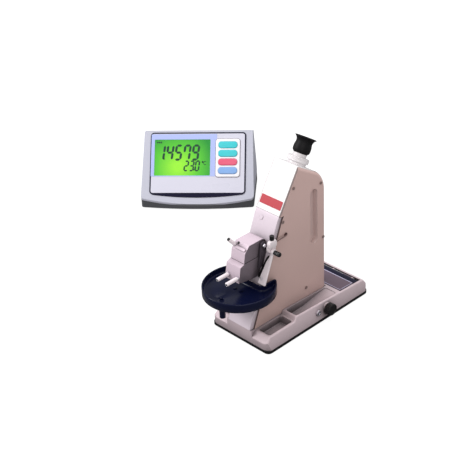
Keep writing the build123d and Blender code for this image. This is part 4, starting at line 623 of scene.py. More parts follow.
def softened(node, width, join, hull, r):
    # A copy of a CAD node with its doubles merged and, where joined, its flat faces made one. Its long sharp
    # edges, as chains longer than the reach or, for a hull, edges between two outermost faces, are rounded
    work = bmesh.new()
    work.from_mesh(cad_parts[node].data)
    bmesh.ops.remove_doubles(work, verts=work.verts, dist=r["doubles"])
    if join:
        bmesh.ops.dissolve_limit(work, angle_limit=radians(r["joined"]), verts=work.verts, edges=work.edges,
                                 use_dissolve_boundaries=False)
    weight = work.edges.layers.float.new("bevel_weight_edge")
    work.edges.ensure_lookup_table()
    work.edges.index_update()
    work.faces.index_update()
    sharp = {e for e in work.edges if len(e.link_faces) == 2 and e.calc_face_angle(0.0) > radians(r["sharp"])}
    rounded = []
    if hull:
        outer = outermost(work)
        rounded = [e for e in sharp if all(outer[f.index] for f in e.link_faces)]
    elif width:
        for chain in edgeChains(sharp):
            rounded += chain if sum(e.calc_length() for e in chain) > r["reach"] * mm else []
    for e in rounded:
        e[weight] = 1.0
    name = node + "_soft"
    obj = newObject(name, smoothed(written(name, work), r["shading"]))
    if width:
        bevel = obj.modifiers.new("roundedEdges", "BEVEL")
        bevel.limit_method, bevel.width, bevel.segments = "WEIGHT", width * mm, r["segments"]
        bevel.use_clamp_overlap, bevel.miter_outer = True, "MITER_ARC"
        even = obj.modifiers.new("evenNormals", "WEIGHTED_NORMAL")
        even.keep_sharp, even.weight = True, r["evenness"]
    else:
        obj.data.normals_split_custom_set(flatNormals(obj.data))
    return obj


# Stage and lamps
stage = {"near": 0.18, "far": 0.75, "nearEnd": 0.30, "farStart": 1.5, "floorGlow": 0.90, "ambient": 0.60,
         "mirrored": 0.80, "size": 6.0, "bend": 1.5, "rise": 0.12, "points": 9}  # lengths in metres


def addStage(s):
    # A bench that is flat near the set and rises behind it: z = rise * (distance past the bend) squared
    count, azimuth = s["points"], radians(camera["azimuth"])
    line = np.linspace(-s["size"], s["size"], count)
    gx, gy = np.meshgrid(line, line, indexing="ij")
    past = np.maximum(gy * cos(azimuth) - gx * sin(azimuth) - s["bend"], 0)
    points = np.stack([gx, gy, s["rise"] * past**2], -1).reshape(-1, 3)
    i, j = np.meshgrid(np.arange(count - 1), np.arange(count - 1), indexing="ij")
    faces = np.stack([i * count + j, (i + 1) * count + j, (i + 1) * count + j + 1, i * count + j + 1], -1)
    mesh = bpy.data.meshes.new("benchTop")
    mesh.from_pydata(points.tolist(), [], faces.reshape(-1, 4).tolist())
    mesh.shade_smooth()
    floor = newObject("benchTop", mesh)
    material = bpy.data.materials.new("benchTop")
    t = emptyTree(material)
    # Dark close to the set and light further out: albedo = near + (far - near) * distance's share
    distance = t.vectors("LENGTH", t.add("TexCoord").outputs["Object"])
    diffuse = t.add("BsdfDiffuse", Color=t.spread(distance, s["nearEnd"], s["farStart"], s["near"], s["far"]))
    seen = t.add("LightPath").outputs["Is Camera Ray"]
    glow = t.add("Emission", Strength=t.maths("MULTIPLY", seen, s["floorGlow"]))
    both = t.add("AddShader")
    t.put(both.inputs[0], diffuse.outputs[0])
    t.put(both.inputs[1], glow.outputs[0])
    t.add("OutputMaterial", Surface=both.outputs[0])
    mesh.materials.append(material)


def addWorld(s):
    # White to the camera, the mirrored strength in metal and glass, and the ambient one as light
    world = bpy.data.worlds.new("studio")
    t = emptyTree(world)
    rays = t.add("LightPath").outputs
    shiny = t.maths("MAXIMUM", rays["Is Glossy Ray"], rays["Is Transmission Ray"])
    seen = t.maths("MAXIMUM", rays["Is Camera Ray"], shiny)
    lit = t.maths("ADD", t.maths("MULTIPLY", seen, s["mirrored"] - s["ambient"]), s["ambient"])
    back = t.add("Background", Color=(1, 1, 1, 1), Strength=t.maths("MAXIMUM", lit, rays["Is Camera Ray"]))
    t.add("OutputWorld", Surface=back.outputs[0])
    scene.world = world


lamps = [  # places, aims and sizes in metres, power in watts
    {"name": "keyLamp", "place": (-1.7, -1.8, 1.9), "aim": (0.1, 0, 0.12), "size": 1.3, "power": 52,
     "colour": (1.0, 0.985, 1.0)},
    {"name": "sideLamp", "place": (2.0, -1.7, 2.0), "aim": (0.2, 0, 0.2), "size": 1.6, "power": 21,
     "colour": (1.0, 0.93, 0.90)},
    {"name": "topLamp", "place": (0.2, 0.6, 2.6), "aim": (0.1, 0, 0.1), "size": 1.4, "power": 20,
     "colour": (0.98, 0.985, 1.0)},
]


def addLamp(d):
    data = bpy.data.lights.new(d["name"], "AREA")
    data.shape, data.size, data.energy, data.color = "DISK", d["size"], d["power"], d["colour"]
    turn = (Vector(d["aim"]) - Vector(d["place"])).to_track_quat("-Z", "Y").to_matrix().to_4x4()
    newObject(d["name"], data).matrix_world = Matrix.Translation(d["place"]) @ turn


addStage(stage)
addWorld(stage)
for each in lamps:
    addLamp(each)
print("stage and lamps set")


# CAD nodes that stay, by finish
nodeFinish = {
    "groundSteel": ("bottom_screws", "lid_hinge_pin", "mirror_shaft", "pinion_shaft", "prism_hinge_pin",
                    "lamp_pivot_pin"),
    "castAluminium": ("tower_frame", "telescope_tube", "prism_mount", "dish_bracket"),
    "opticalGlass": ("objective_lens", "reticle", "eyepiece_lens", "main_prism", "illuminating_prism", "lamp_lens"),
    "platedBrass": ("connector_socket", "lower_hose_nipples", "upper_hose_nipple"),
    "turnedBrass": ("sector_arm", "shaft_bush"), "whitePlastic": ("eyepiece_socket", "eyepiece_barrel"),
    "circuitBoard": ("encoder_board", "console_board"), "blackPlastic": ("encoder_disc",),
    "darkScrew": ("machine_screws",), "mirrorGlass": ("mirror",), "prismMetal": ("grip_bar",),
    "redFilm": ("label_band",), "panelPaint": ("panel_plug",), "bushBrown": ("cable_grommet",),
    "leadGrey": ("lamp_lead",), "displayGreen": ("display_glass",),
}
for look, nodes in nodeFinish.items():
    for node in nodes:
        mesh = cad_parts[node].data
        mesh.materials.clear()
        mesh.materials.append(materials[look])
print("CAD nodes finished:", sum(len(nodes) for nodes in nodeFinish.values()))


# Castings and shells, as copies of their CAD nodes with rounded edges
# node: (edge width, joined faces, hull edges only, finish, body, record slot)
shells = {
    "base_casting": (0, False, False, "basePaint", "instrument", "warm_grey_paint"),
    "right_side_cover": (0, False, False, "towerPaint", "instrument", "warm_grey_paint"),
    "left_side_cover": (0, False, False, "towerPaint", "instrument", "warm_grey_paint"),
    "front_cover": (0.4, True, False, "whitePaint", "instrument", "white_paint"),
    "front_panel": (0.4, True, False, "panelPaint", "instrument", "mauve_paint"),
    "rear_lid": (0.4, True, False, "mauvePaint", "rear_lid", "mauve_paint"),
    "lower_prism_box": (0.5, True, False, "prismMetal", "instrument", "prism_metal"),
    "upper_prism_box": (0.5, True, False, "prismMetal", "prism_lid", "prism_metal"),
    "console_housing": (2.2, True, True, "consoleGrey", "instrument", "console_grey"),
    "console_base": (1.5, True, True, "consoleDark", "instrument", "console_dark"),
    "display_panel": (0.25, True, True, "panelFilm", "instrument", "panel_film"),
}
made = {}
for node, (width, join, hull, look, body, slot) in shells.items():
    made[node] = dress(softened(node, width, join, hull, rounding), body, look, slot, node)


def paintFaces(obj, look, choose):
    # A further material on the faces that the function picks from their normals and middles, in mm
    obj.data.materials.append(materials[look])
    middles = faceValues(obj.data, "center", 3) / mm - [instrument["x"], instrument["y"], 0]
    index = faceValues(obj.data, "material_index").astype(np.int32)
    index[choose(faceValues(obj.data, "normal", 3), middles)] = len(obj.data.materials) - 1
    obj.data.polygons.foreach_set("material_index", index)


grip = {"y": 145.5, "z": 172.5, "halfStraight": 40.5, "radius": 8.1, "inner": 17.9, "outer": 26.95}
facing = {"rimFrom": 23.0, "flat": 0.9, "level": 0.99, "seam": 146.15, "cheek": 15.2, "screws": (90.0, 98.0),
          "screwFront": 40.0}


def inGrip(n, m):
    # Faces within the slot's plan: distance from its straight middle line no more than its radius
    plan = np.hypot(m[:, 1] - grip["y"], np.maximum(np.abs(m[:, 2] - grip["z"]) - grip["halfStraight"], 0))
    depth = np.abs(m[:, 0])
    return (plan < grip["radius"]) & (depth > grip["inner"]) & (depth < grip["outer"])


def onRim(n, m):
    return (np.abs(n[:, 0]) < 0.5) & (m[:, 0] > facing["rimFrom"])


def onFrontRim(n, m):
    return (m[:, 0] < -facing["rimFrom"]) & (n[:, 1] < -0.12) & (n[:, 2] > -0.2)


def onSides(n, m):
    return np.abs(n[:, 0]) > facing["flat"]


def onSeam(n, m):
    return (np.abs(n[:, 2]) > facing["level"]) & (np.abs(m[:, 2] - facing["seam"]) < 0.3)


def onCheeks(n, m):
    return np.abs(m[:, 0]) > facing["cheek"]


def onDishScrews(n, m):
    low, high = facing["screws"]
    return (m[:, 1] < facing["screwFront"]) & (m[:, 2] > low) & (m[:, 2] < high)


# Of these, the right cover's rim, the boxes' side faces and cheeks and the seam between the boxes get painted shade,
# and the grip pockets painted light; the left cover's front rim and the dish screws get colours of their own
for node, look, choose in (
    ("right_side_cover", "rimShade", onRim), ("right_side_cover", "pocketLitPaint", inGrip),
    ("left_side_cover", "pocketLitPaint", inGrip), ("left_side_cover", "whitePaint", onFrontRim),
    ("lower_prism_box", "prismShadedSide", onSides), ("lower_prism_box", "shadeBlack", onSeam),
    ("upper_prism_box", "prismShadedSide", onSides), ("upper_prism_box", "shadeBlack", onSeam),
    ("lower_prism_box", "cheekShadedMetal", onCheeks), ("machine_screws", "navyEnamel", onDishScrews),
):
    paintFaces(made.get(node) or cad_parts[node], look, choose)
print("shells rounded:", len(shells))


# Drip dish
dish = {"y": 4.0, "radius": 58.2, "wall": 2.5, "rim": 103.8, "skirt": 89.0, "floor": 94.5, "under": 92.0,
        "notchHalf": 29.5, "notchFront": 22.0, "notchCorner": 6.0, "horn": 3.0, "fillet": 3.2, "chamfer": 0.4,
        "spoutY": -33.5, "spoutRadius": 4.8, "spoutBore": 2.8, "spoutBottom": 61.0, "spoutPoints": 32}


def dishPlan(d, inset):
    # The dish's plan, an inset in from its outside: a circle's arc, a small arc round each horn, a straight side,
    # a hollow corner and the notch's front, each half mirrored from the other, with the same count at any inset
    big, half, edge = d["radius"] - inset, d["notchHalf"] + inset, d["notchFront"] - inset
    small, corner = max(d["horn"] - inset / 2, 0.3), d["notchCorner"] + inset
    hornX = half + small
    hornY = d["y"] + np.sqrt((big - small) ** 2 - hornX**2)
    turn = np.arctan2(hornY - d["y"], hornX)
    a = np.linspace(-np.pi / 2, turn, 72)
    arc = np.stack([big * np.cos(a), d["y"] + big * np.sin(a)], -1)
    b = np.linspace(turn, np.pi, 10)[1:]
    tip = np.stack([hornX + small * np.cos(b), hornY + small * np.sin(b)], -1)
    t = np.linspace(0, 1, 8)[1:, None]
    side = tip[-1] * (1 - t) + np.array([half, edge + corner]) * t
    c = np.linspace(0, -np.pi / 2, 9)[1:]
    hollow = np.stack([half - corner + corner * np.cos(c), edge + corner + corner * np.sin(c)], -1)
    front = hollow[-1] * (1 - t) + np.array([0, edge]) * t
    right = np.concatenate([arc, tip, side, hollow, front])
    return np.concatenate([right, (right * [-1, 1])[1:-1][::-1]])


def makeDish(d):
    # The plan at each step of a profile, and a turned spout, with the flat floor filled between them
    q = np.linspace(0, np.pi / 2, 6)
    w, f, lip, c = d["wall"], d["fillet"], d["wall"] / 2, d["chamfer"]
    # Profile as (inset, height): up the outside, over the rounded lip, down the inside and into the floor
    profile = [(w, d["skirt"] + c), (w - c, d["skirt"]), (c, d["skirt"]), (0, d["skirt"] + c)]
    profile += [(lip - lip * np.cos(x), d["rim"] - lip + lip * np.sin(x)) for x in q]
    profile += [(lip + lip * np.sin(x), d["rim"] - lip + lip * np.cos(x)) for x in q[1:]]
    profile += [(w + f - f * np.cos(x), d["floor"] + f - f * np.sin(x)) for x in q]
    profile = [(w, d["under"])] + profile
    level = levelAt(onInstrument(0, 0, 0))
    wall = np.array([inPlane(level, *dishPlan(d, inset).T, height) for inset, height in profile])
    a = np.linspace(0, 2 * np.pi, d["spoutPoints"], endpoint=False)
    bore, tube, low = d["spoutBore"], d["spoutRadius"], d["spoutBottom"]
    spout = np.array([inPlane(level, r * np.cos(a), d["spoutY"] + r * np.sin(a), height) for r, height in (
        (bore * 1.25, d["floor"]), (bore, d["floor"] - 0.8), (bore, low), (tube - bore * 0.1, low),
        (tube, low + 0.5), (tube, d["under"]))])
    points = np.concatenate([wall.reshape(-1, 3), spout.reshape(-1, 3)]) * mm
    mesh = bpy.data.meshes.new("dripDish")
    faces = gridFaces(*wall.shape[:2]) + gridFaces(*spout.shape[:2], wall.shape[0] * wall.shape[1])
    mesh.from_pydata(points.tolist(), [], faces)
    work = bmesh.new()
    work.from_mesh(mesh)
    rims = [e for e in work.edges if len(e.link_faces) == 1]
    for z in (d["floor"], d["under"]):
        loop = [e for e in rims if abs((e.verts[0].co.z + e.verts[1].co.z) / 2 - z * mm) < 1e-5]
        bmesh.ops.triangle_fill(work, use_beauty=True, use_dissolve=False, edges=loop)
    work.to_mesh(mesh)
    work.free()
    return finishMesh("dripDish", mesh, 50)


dress(makeDish(dish), "instrument", "navyEnamel", "navy_enamel", "drip_dish")
print("dish made")


# Eyepiece: heights run up the line of sight
eyepiece = {"ringRadius": 17.5, "ringBottom": 4.5, "ringTop": 12.5, "ringBore": 9.0, "recess": 8.6,
            "recessRadius": 12.2, "ribs": 60, "ribDepth": 0.35, "ringPoints": 480,
            "cup": ((11.0, 18.2), (13.8, 21.7), (14.1, 29.0), (13.0, 35.9), (14.7, 41.0), (17.5, 43.4)),
            "neck": 13.0, "rim": 17.5, "top": 44.4, "wall": 2.2, "collar": 11.0, "collarTop": 18.2,
            "barrel": 8.0, "barrelTop": 30.0, "cupPoints": 72}


def makeDioptreRing(e):
    r, low, high, groove = e["ringRadius"], e["ringBottom"], e["ringTop"], e["ringRadius"] - 0.4
    profile = [(e["ringBore"], e["recess"]), (e["ringBore"], low), (r - 1.2, low), (groove, low + 0.2)]
    profile += [(r - 0.05, low + 0.9), (groove, low + 1.6)]
    profile += [(groove, h) for h in np.linspace(low + 1.8, high - 1.8, 5)] + [(groove, high - 1.6)]
    profile += [(r - 0.05, high - 0.9), (groove, high - 0.2), (r - 1.2, high), (e["recessRadius"] + 0.3, high),
                (e["recessRadius"], high - 0.3), (e["recessRadius"], e["recess"]), (e["ringBore"], e["recess"])]

    def ribs(angle, rows):
        # Fine ribs between the two rims: depth = ribDepth * (|cos(ribs * angle / 2)| - 0.5), on the middle rows
        height = rows[:, 1:2]
        middle = (np.abs(rows[:, :1] - groove) < 0.01) & (height > low + 1) & (height < high - 1)
        return middle * e["ribDepth"] * (np.abs(np.cos(angle * e["ribs"] / 2)) - 0.5)

    return turnedPiece("dioptreRing", sightPlane(), profile, e["ringPoints"], ribs)


def makeEyecup(e):
    # The rubber's outside is a cubic through the points of the cup: p = b + ((c - a) f + (2a - 5b + 4c - d) f^2
    # + (3b - a - 3c + d) f^3) / 2 between b and c, and its inside comes back down a wall's thickness in
    radii, heights = np.array(e["cup"]).T
    t = np.linspace(0, 5, 46)
    k = np.clip(t.astype(int), 0, 4)
    f = t - k

    def curve(v):
        p = np.concatenate([[2 * v[0] - v[1]], v, [2 * v[-1] - v[-2]]])
        a, b, c, d = p[k], p[k + 1], p[k + 2], p[k + 3]
        return 0.5 * (2 * b + (c - a) * f + (2 * a - 5 * b + 4 * c - d) * f**2 + (3 * b - a - 3 * c + d) * f**3)

    outside = np.column_stack([curve(radii), curve(heights)])
    w, rim, top = e["wall"], e["rim"], e["top"]
    lip = [(rim, top - 0.7), (rim - 0.3, top - 0.15), (rim - 1.1, top), (rim - 1.9, top - 0.2)]
    inside = outside[44:24:-2] - [w, 0]
    inside = inside[inside[:, 1] > e["barrelTop"] + 0.6]
    foot = [(e["neck"] - w, e["barrelTop"]), (e["barrel"], e["barrelTop"]), (e["barrel"], e["collarTop"]),
            (e["collar"], e["collarTop"])]
    profile = np.concatenate([outside, lip, inside, foot])
    return turnedPiece("eyecupRubber", sightPlane(), profile, e["cupPoints"])


dress(makeDioptreRing(eyepiece), "dioptre_ring", "whitePlastic", "white_plastic", "dioptre_ring")
dress(makeEyecup(eyepiece), "eyepiece", "blackRubber", "black_rubber", "eyecup")
print("eyepiece made")


# Knobs: each stands on the low face of its CAD node, and those with a bore sit over a shaft
knobs = {
    "measuring_knob": {"name": "measuringKnob", "slot": "black_plastic", "radius": 10.0, "length": 10.0,
                       "flutes": 20, "depth": 0.55, "bore": 3.0, "boreTop": 7.0, "dished": 0.8},
    "lamp_swing_knob": {"name": "lampSwingKnob", "slot": "prism_metal", "radius": 3.8, "length": 11.0,
                        "flutes": 12, "depth": 0.35, "bore": 2.05, "boreTop": 8.0, "dished": 0.0},
    "lamp_lock_knob": {"name": "lampLockKnob", "slot": "black_plastic", "radius": 3.6, "length": 7.7,
                       "flutes": 12, "depth": 0.35, "bore": 0.0, "boreTop": 0.0, "dished": 0.0},
}
lockScrew = [(0, -5.3), (1.2, -5.3), (1.5, -4.9), (1.5, 0.2), (0, 0.2)]


def makeKnob(p, d):
    # A fluted knob with rounded rims: the side's radius falls by depth * max(0, cos(flutes * angle)) cubed
    q = np.linspace(0, np.pi / 2, 5)
    radius, high, bore, top = d["radius"], d["length"], d["bore"], d["length"] - d["dished"]
    e = min(1.0, radius * 0.14)
    profile = [(0.0, d["boreTop"]), (bore, d["boreTop"]), (bore, 0.0)] if bore else [(0.0, 0.0)]
    profile += [(radius - e + e * np.sin(x), e - e * np.cos(x)) for x in q]
    profile += [(radius, h) for h in np.linspace(e, high - e, 5)[1:-1]]
    profile += [(radius - e + e * np.cos(x), high - e + e * np.sin(x)) for x in q]
    if d["dished"]:
        profile += [(radius - 2.0, high), (radius - 2.6, top)]
    profile += [(0.0, top)]

    def wave(angle, rows):
        outer = np.clip((rows[:, :1] - radius + e) / e, 0, 1)
        return -d["depth"] * outer * np.maximum(0, np.cos(d["flutes"] * angle)) ** 3

    return turnedPiece(d["name"], p, profile, d["flutes"] * 16, wave)


for node, knob in knobs.items():
    low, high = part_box(node)
    middle = (low + high) / 2 / mm
    if node == "lamp_lock_knob":
        p = levelAt((middle.x, middle.y, high.z / mm - knob["length"]))
        piece = joined(knob["name"], [makeKnob(p, knob), turnedPiece("lockScrew", p, lockScrew, 24)])
    else:
        piece = makeKnob(sideAt((low.x / mm, middle.y, middle.z)), knob)
    dress(piece, node, "blackPlastic", knob["slot"], node)
print("knobs made")


# Rubber feet
feet = {"across": 50, "depths": (15, 223), "radius": 8.0, "height": 2.0,
        "consoleRadius": 6.0, "consoleHeight": 2.5, "consoleHalf": 89.5, "consoleDepths": (18.0, 99.99)}


def makeFoot(origin, radius, height):
    # A turned rubber pad with a hollow underside and a rounded rim
    profile = [(0, height), (radius, height), (radius, 0.7), (radius - 0.2, 0.25), (radius - 0.8, 0.0),
               (radius - 2.6, 0.0), (radius - 3.0, 0.5), (0, 0.5)]
    return turnedPiece("foot", levelAt(origin), profile, 48)


def consoleSpot(across, depth):
    right, rear = consoleAxes()
    return onInstrument(console["x"], console["y"], 0) + right * across + rear * depth


pads = [makeFoot(onInstrument(x, y, 0), feet["radius"], feet["height"])
        for x in (-feet["across"], feet["across"]) for y in feet["depths"]]
pads += [makeFoot(consoleSpot(x, y), feet["consoleRadius"], feet["consoleHeight"])
         for x in (-feet["consoleHalf"], feet["consoleHalf"]) for y in feet["consoleDepths"]]
dress(joined("rubberFeet", pads), "instrument", "blackRubber", "black_rubber", "feet")
print("feet made")


# Console panel: gasket line, display surround, keypad and keys. A field is (width, height, across, up)
panel = {"width": 178.0, "height": 116.0, "up": 68.0, "thickness": 1.2, "corner": 4.0, "line": 2.6, "bow": 6.5,
         "lcd": (107.0, 71.0, -30.0, 79.0), "surround": (126.0, 83.0, -27.0, 83.5),
         "pad": (46.0, 75.0, 57.0, 78.0), "padRise": 2.8, "padEdge": 1.1, "padCorner": 5.0,
         "key": (36.0, 13.0), "keyPitch": 16.8, "keyCorner": 5.8, "keyTop": 4.2, "keyBottom": -7.0}
keyLooks = (("keyTeal", "key_teal"), ("keyTeal", "key_teal"), ("keyRed", "key_red"), ("keyBlue", "key_blue"))
face = facePlane()
keyRows = [(row - 1.5) * panel["keyPitch"] + panel["pad"][3] for row in range(4)]


def grown(field, by):
    # A field made wider and higher by the same length, about its own middle
    return rect(field[0] + by, field[1] + by, *field[2:])


def framePiece(name, outside, inside, low, high):
    # A flat frame: the outer and inner outlines have the same count, and its section is a small rectangle
    rows = np.concatenate([lifted(face, outside, low, high), lifted(face, inside, high, low),
                           lifted(face, outside, low)])
    return meshFromGrid(name, rows, (False, False))


def makeGasket(d):
    # The dark line round the panel. Its lower edge bows down as bow * (1 - (across / half) squared)
    field, line = (d["width"], d["height"], 0, d["up"]), 2 * d["line"]
    steps = np.linspace(0, 1, 25)[1:-1, None]

    def withBottom(loop):
        # The bottom run lies between the first corner's end and the second corner's start
        return np.concatenate([loop[:8], loop[7] * (1 - steps) + loop[8] * steps, loop[8:]])

    inside = withBottom(outline(grown(field, -0.4), d["corner"], 0, 8))
    outside = withBottom(outline(grown(field, line), d["corner"] + d["line"], 0, 8))
    low = outside[:, 1] < d["up"] - (d["height"] + line) / 2 + 0.3
    outside[:, 1] -= low * d["bow"] * (1 - (outside[:, 0] / ((d["width"] + line) / 2)) ** 2)
    return framePiece("panelGasket", outside, inside, -0.3, 0.8)


def makeSurround(d):
    outer, inner = outline(rect(*d["surround"]), 1.5), outline(grown(d["lcd"], -0.2), 0.8)
    return framePiece("displaySurround", outer, inner, d["thickness"] - 0.4, d["thickness"] + 0.12)


def makeKeypad(d):
    # A soft white pad whose rounded rim rises from the panel, with a hollow round each key: a quarter-circle
    # profile along the pad's outline, and a wall along each key's outline, closed by a filled face
    pad, corner, rise, edge, low = rect(*d["pad"]), d["padCorner"], d["padRise"], d["padEdge"], d["thickness"]
    outer = [inPlane(face, *outline(pad, corner, 0, 8).T, low)]
    outer += [inPlane(face, *outline(pad, corner, edge * (1 - np.cos(x)), 8).T, rise - edge + edge * np.sin(x))
              for x in np.linspace(0, np.pi / 2, 5)]
    parts = [meshFromGrid("padRim", np.array(outer), (True, False))]
    for row in keyRows:
        hole, corner = grown((*d["key"], d["pad"][2], row), 0.8), d["keyCorner"] + 0.4
        walls = [inPlane(face, *outline(hole, corner, inset, 8).T, height)
                 for inset, height in ((0.0, low + 0.3), (0.0, rise - 0.3), (-0.3, rise))]
        parts.append(meshFromGrid("keyWell", np.array(walls), (True, False)))
    work = merged(parts)
    rims = [e for e in work.edges if len(e.link_faces) == 1]
    bmesh.ops.triangle_fill(work, use_beauty=True, use_dissolve=False, edges=rims)
    return finishMesh("keypadFrame", written("keypadFrame", work))


def makeKeypadLine(d):
    outer = outline(grown(d["pad"], 1.6), d["padCorner"] + 0.8, 0, 8)
    inner = outline(grown(d["pad"], -0.4), d["padCorner"] - 0.2, 0, 8)
    return framePiece("keypadLine", outer, inner, d["thickness"] - 0.3, d["thickness"] + 0.25)


dress(makeGasket(panel), "instrument", "outlineNavy", "console_dark")
dress(makeSurround(panel), "instrument", "surroundBlue", "panel_film")
dress(makeKeypad(panel), "instrument", "keypadWhite", "panel_film", "keypad_frame")
dress(makeKeypadLine(panel), "instrument", "mauvePaint", "panel_film")
for number, (row, (look, slot)) in enumerate(zip(keyRows[::-1], keyLooks), start=1):
    key = slab(f"softKey{number}", face, rect(*panel["key"], panel["pad"][2], row), panel["keyCorner"],
               panel["keyBottom"], panel["keyTop"], 1.2, 0.3, 9, 6)
    dress(key, f"key_{number}", look, slot, f"key_{number}")
print("console panel made")


# Figures on the display: each line is its figures, their height, pitch, start across and foot up the face
figures = {"lines": (("14579", 27.5, 16.4, -77.0, 75.1), ("230", 18.5, 10.5, -26.4, 53.4)), "slant": 0.12,
           "stroke": 0.16, "share": 0.62, "rise": 0.06, "sink": 0.05, "gap": 0.012,
           "points": ((-65.0, 76.4, 1.5), (-7.4, 54.6, 1.2)),  # across, up and radius
           "curves": ((9.0, 70.2, 1.3, 0.7, 0, 24), (13.6, 68.0, 2.6, 1.0, 3, 21)),  # then stroke, first and last
           "ticks": (-78.0, -74.6, -71.2), "tick": (2.6, 3.0), "tickUp": 109.0}
# Segments of a figure on a grid 1 wide and 2 high, as start and end points
bars = {"a": ((0, 2), (1, 2)), "b": ((1, 2), (1, 1)), "c": ((1, 1), (1, 0)), "d": ((0, 0), (1, 0)),
        "e": ((0, 1), (0, 0)), "f": ((0, 2), (0, 1)), "g": ((0, 1), (1, 1))}
lit = {"0": "abcdef", "1": "bc", "2": "abdeg", "3": "abcdg", "4": "bcfg", "5": "acdfg", "7": "abcf", "9": "abcdfg"}


def barShape(start, end, d, height, width):
    # A long hexagon from start to end: its ends are points, and its sides lie half a stroke either side
    s, e = np.array(start, float) * [width, height / 2], np.array(end, float) * [width, height / 2]
    along = (e - s) / np.linalg.norm(e - s)
    half, gap = d["stroke"] * height / 2, d["gap"] * height
    across = np.array([-along[1], along[0]]) * half
    s, e = s + along * gap, e - along * gap
    near, far = s + along * half, e - along * half
    loop = np.array([s, near - across, far - across, e, far + across, near + across])
    loop[:, 0] += loop[:, 1] * d["slant"]
    return loop


def makeFigures(d):
    # Bars of the figures, the two points, the degree ring, the open C beside it and three plain ticks
    top = panel["thickness"] - 0.4
    loops = []
    for text, height, pitch, start, low in d["lines"]:
        for n, letter in enumerate(text):
            loops += [barShape(*bars[bar], d, height, pitch * d["share"]) + [start + n * pitch, low]
                      for bar in lit[letter]]
    for x, y, r, w, first, last in d["curves"]:
        a = np.linspace(0, 2 * np.pi, 25)[first:last + 1]
        ring = np.stack([np.cos(a), 1.2 * np.sin(a)], -1)
        loops.append(np.concatenate([[x, y] + (r + w / 2) * ring, [x, y] + (r - w / 2) * ring[::-1]]))
    loops += [np.array(rect(*d["tick"], x, d["tickUp"])) for x in d["ticks"]]
    parts = [meshFromGrid("bar", lifted(face, loop, top - d["sink"], top + d["rise"])) for loop in loops]
    for x, y, r in d["points"]:
        profile = [(0, -d["sink"]), (r, -d["sink"]), (r, d["rise"]), (0, d["rise"])]
        parts.append(turnedPiece("point", facePlane(x, y, top), profile, 20))
    return joined("displayFigures", parts)


dress(makeFigures(figures), "instrument", "lcdInk", "lcd_green")
print("figures made")


# Bottom plate: its dark rubber edge laps a little up the casting, and its height also paints the shade in the gap
# under the base
plate = {"width": 127.4, "front": -0.2, "back": 238.2, "corner": 8.6, "low": 0.8, "high": 6.8, "edge": 0.4,
         "lowEdge": 1.2}


def makePlate(d):
    corners = rect(d["width"], d["back"] - d["front"], 0, (d["front"] + d["back"]) / 2)
    return slab("bottomPlate", levelAt(onInstrument(0, 0, 0)), corners, d["corner"], d["low"], d["high"],
                d["edge"], d["lowEdge"], 10)


dress(makePlate(plate), "instrument", "darkPlate", "dark_plate", "bottom_plate")
print("bottom plate made")


# Rear lid: dark seam, light line and dark hinge band
lidTop = {"front": 176.3, "back": 220.7, "half": 55.0, "rimHigh": 34.5, "rimFall": 0.045, "stepBack": 70.5,
          "seam": 1.3, "band": 10.5, "line": 1.7, "thinLine": 0.9, "gap": 0.2}


def lidStrips(name, d, strips):
    # Thin strips on the lid's sloping top, each from low to high along it, left to right across it, and its rise
    height = d["rimHigh"] - d["rimFall"] * (d["front"] - d["stepBack"])
    p = plane(onInstrument(0, d["front"], height), (1, 0, 0), (0, d["rimFall"], 1))
    return joined(name, [slab("strip", p, rect(right - left, high - low, (left + right) / 2, (low + high) / 2), 0.2,
                              -0.3, rise, 0.1, 0.0, 2, 3) for low, high, left, right, rise in strips])


def dressLid(d):
    long, w, gap = d["back"] - d["front"], d["seam"], d["gap"]
    side, band, inner = d["half"] - gap, long - d["band"], d["half"] - 2 * w
    seams = [(gap, w, -side, side, 0.12), (gap, long - gap, -side, w - d["half"], 0.12),
             (gap, long - gap, d["half"] - w, side, 0.12), (band, long - 0.1, -side, side, 0.3)]
    lines = [(band - d["line"], band, -inner, inner, 0.2), (2 * w, 2 * w + d["thinLine"], -inner, inner, 0.14),
             (2 * w, band, inner - d["thinLine"], inner, 0.14)]
    dress(lidStrips("lidSeams", d, seams), "rear_lid", "outlineNavy", "mauve_paint")
    dress(lidStrips("lidLines", d, lines), "rear_lid", "lidLine", "mauve_paint")


dressLid(lidTop)
print("rear lid dressed")


# Lamp: bracket with its round head, wedge arm and a dark bar that paints the shade beside the arm. Outlines are points
# and corner radii
lamp = {"y": 50.0, "z": 153.0, "x": 29.4, "lean": 28.4, "faceOut": 2.5, "sheet": 2.4, "pin": 2.05, "hub": 5.0,
        "hubStart": 28.2, "hubEnd": 33.0, "headRadius": 9.2, "headStart": 24.0, "headEnd": 28.0, "headUp": 6.0,
        "headBack": 0.5, "headEdge": 1.6, "blockX": 29.7,
        "block": ([(-8.5, 161.5), (7.0, 161.5), (7.5, 169.0), (5.8, 173.0), (-6.8, 173.0), (-8.8, 169.0)],
                  [2.5, 2.5, 3.0, 2.0, 2.0, 3.0]),
        "arm": ([(3.2, 0), (7.8, -54.0), (-7.8, -54.0), (-4.2, -18), (-1.2, -8), (-1.2, 0)],
                [0.6, 1.2, 1.2, 4, 4, 0.6]),
        "shadeBar": ([(-1.4, -9), (-3.8, -18), (-7.4, -46), (-12.0, -45.0), (-6.9, -12), (-4.6, -8.0)],
                   [0.8, 3, 1.2, 1.2, 3, 1.0])}


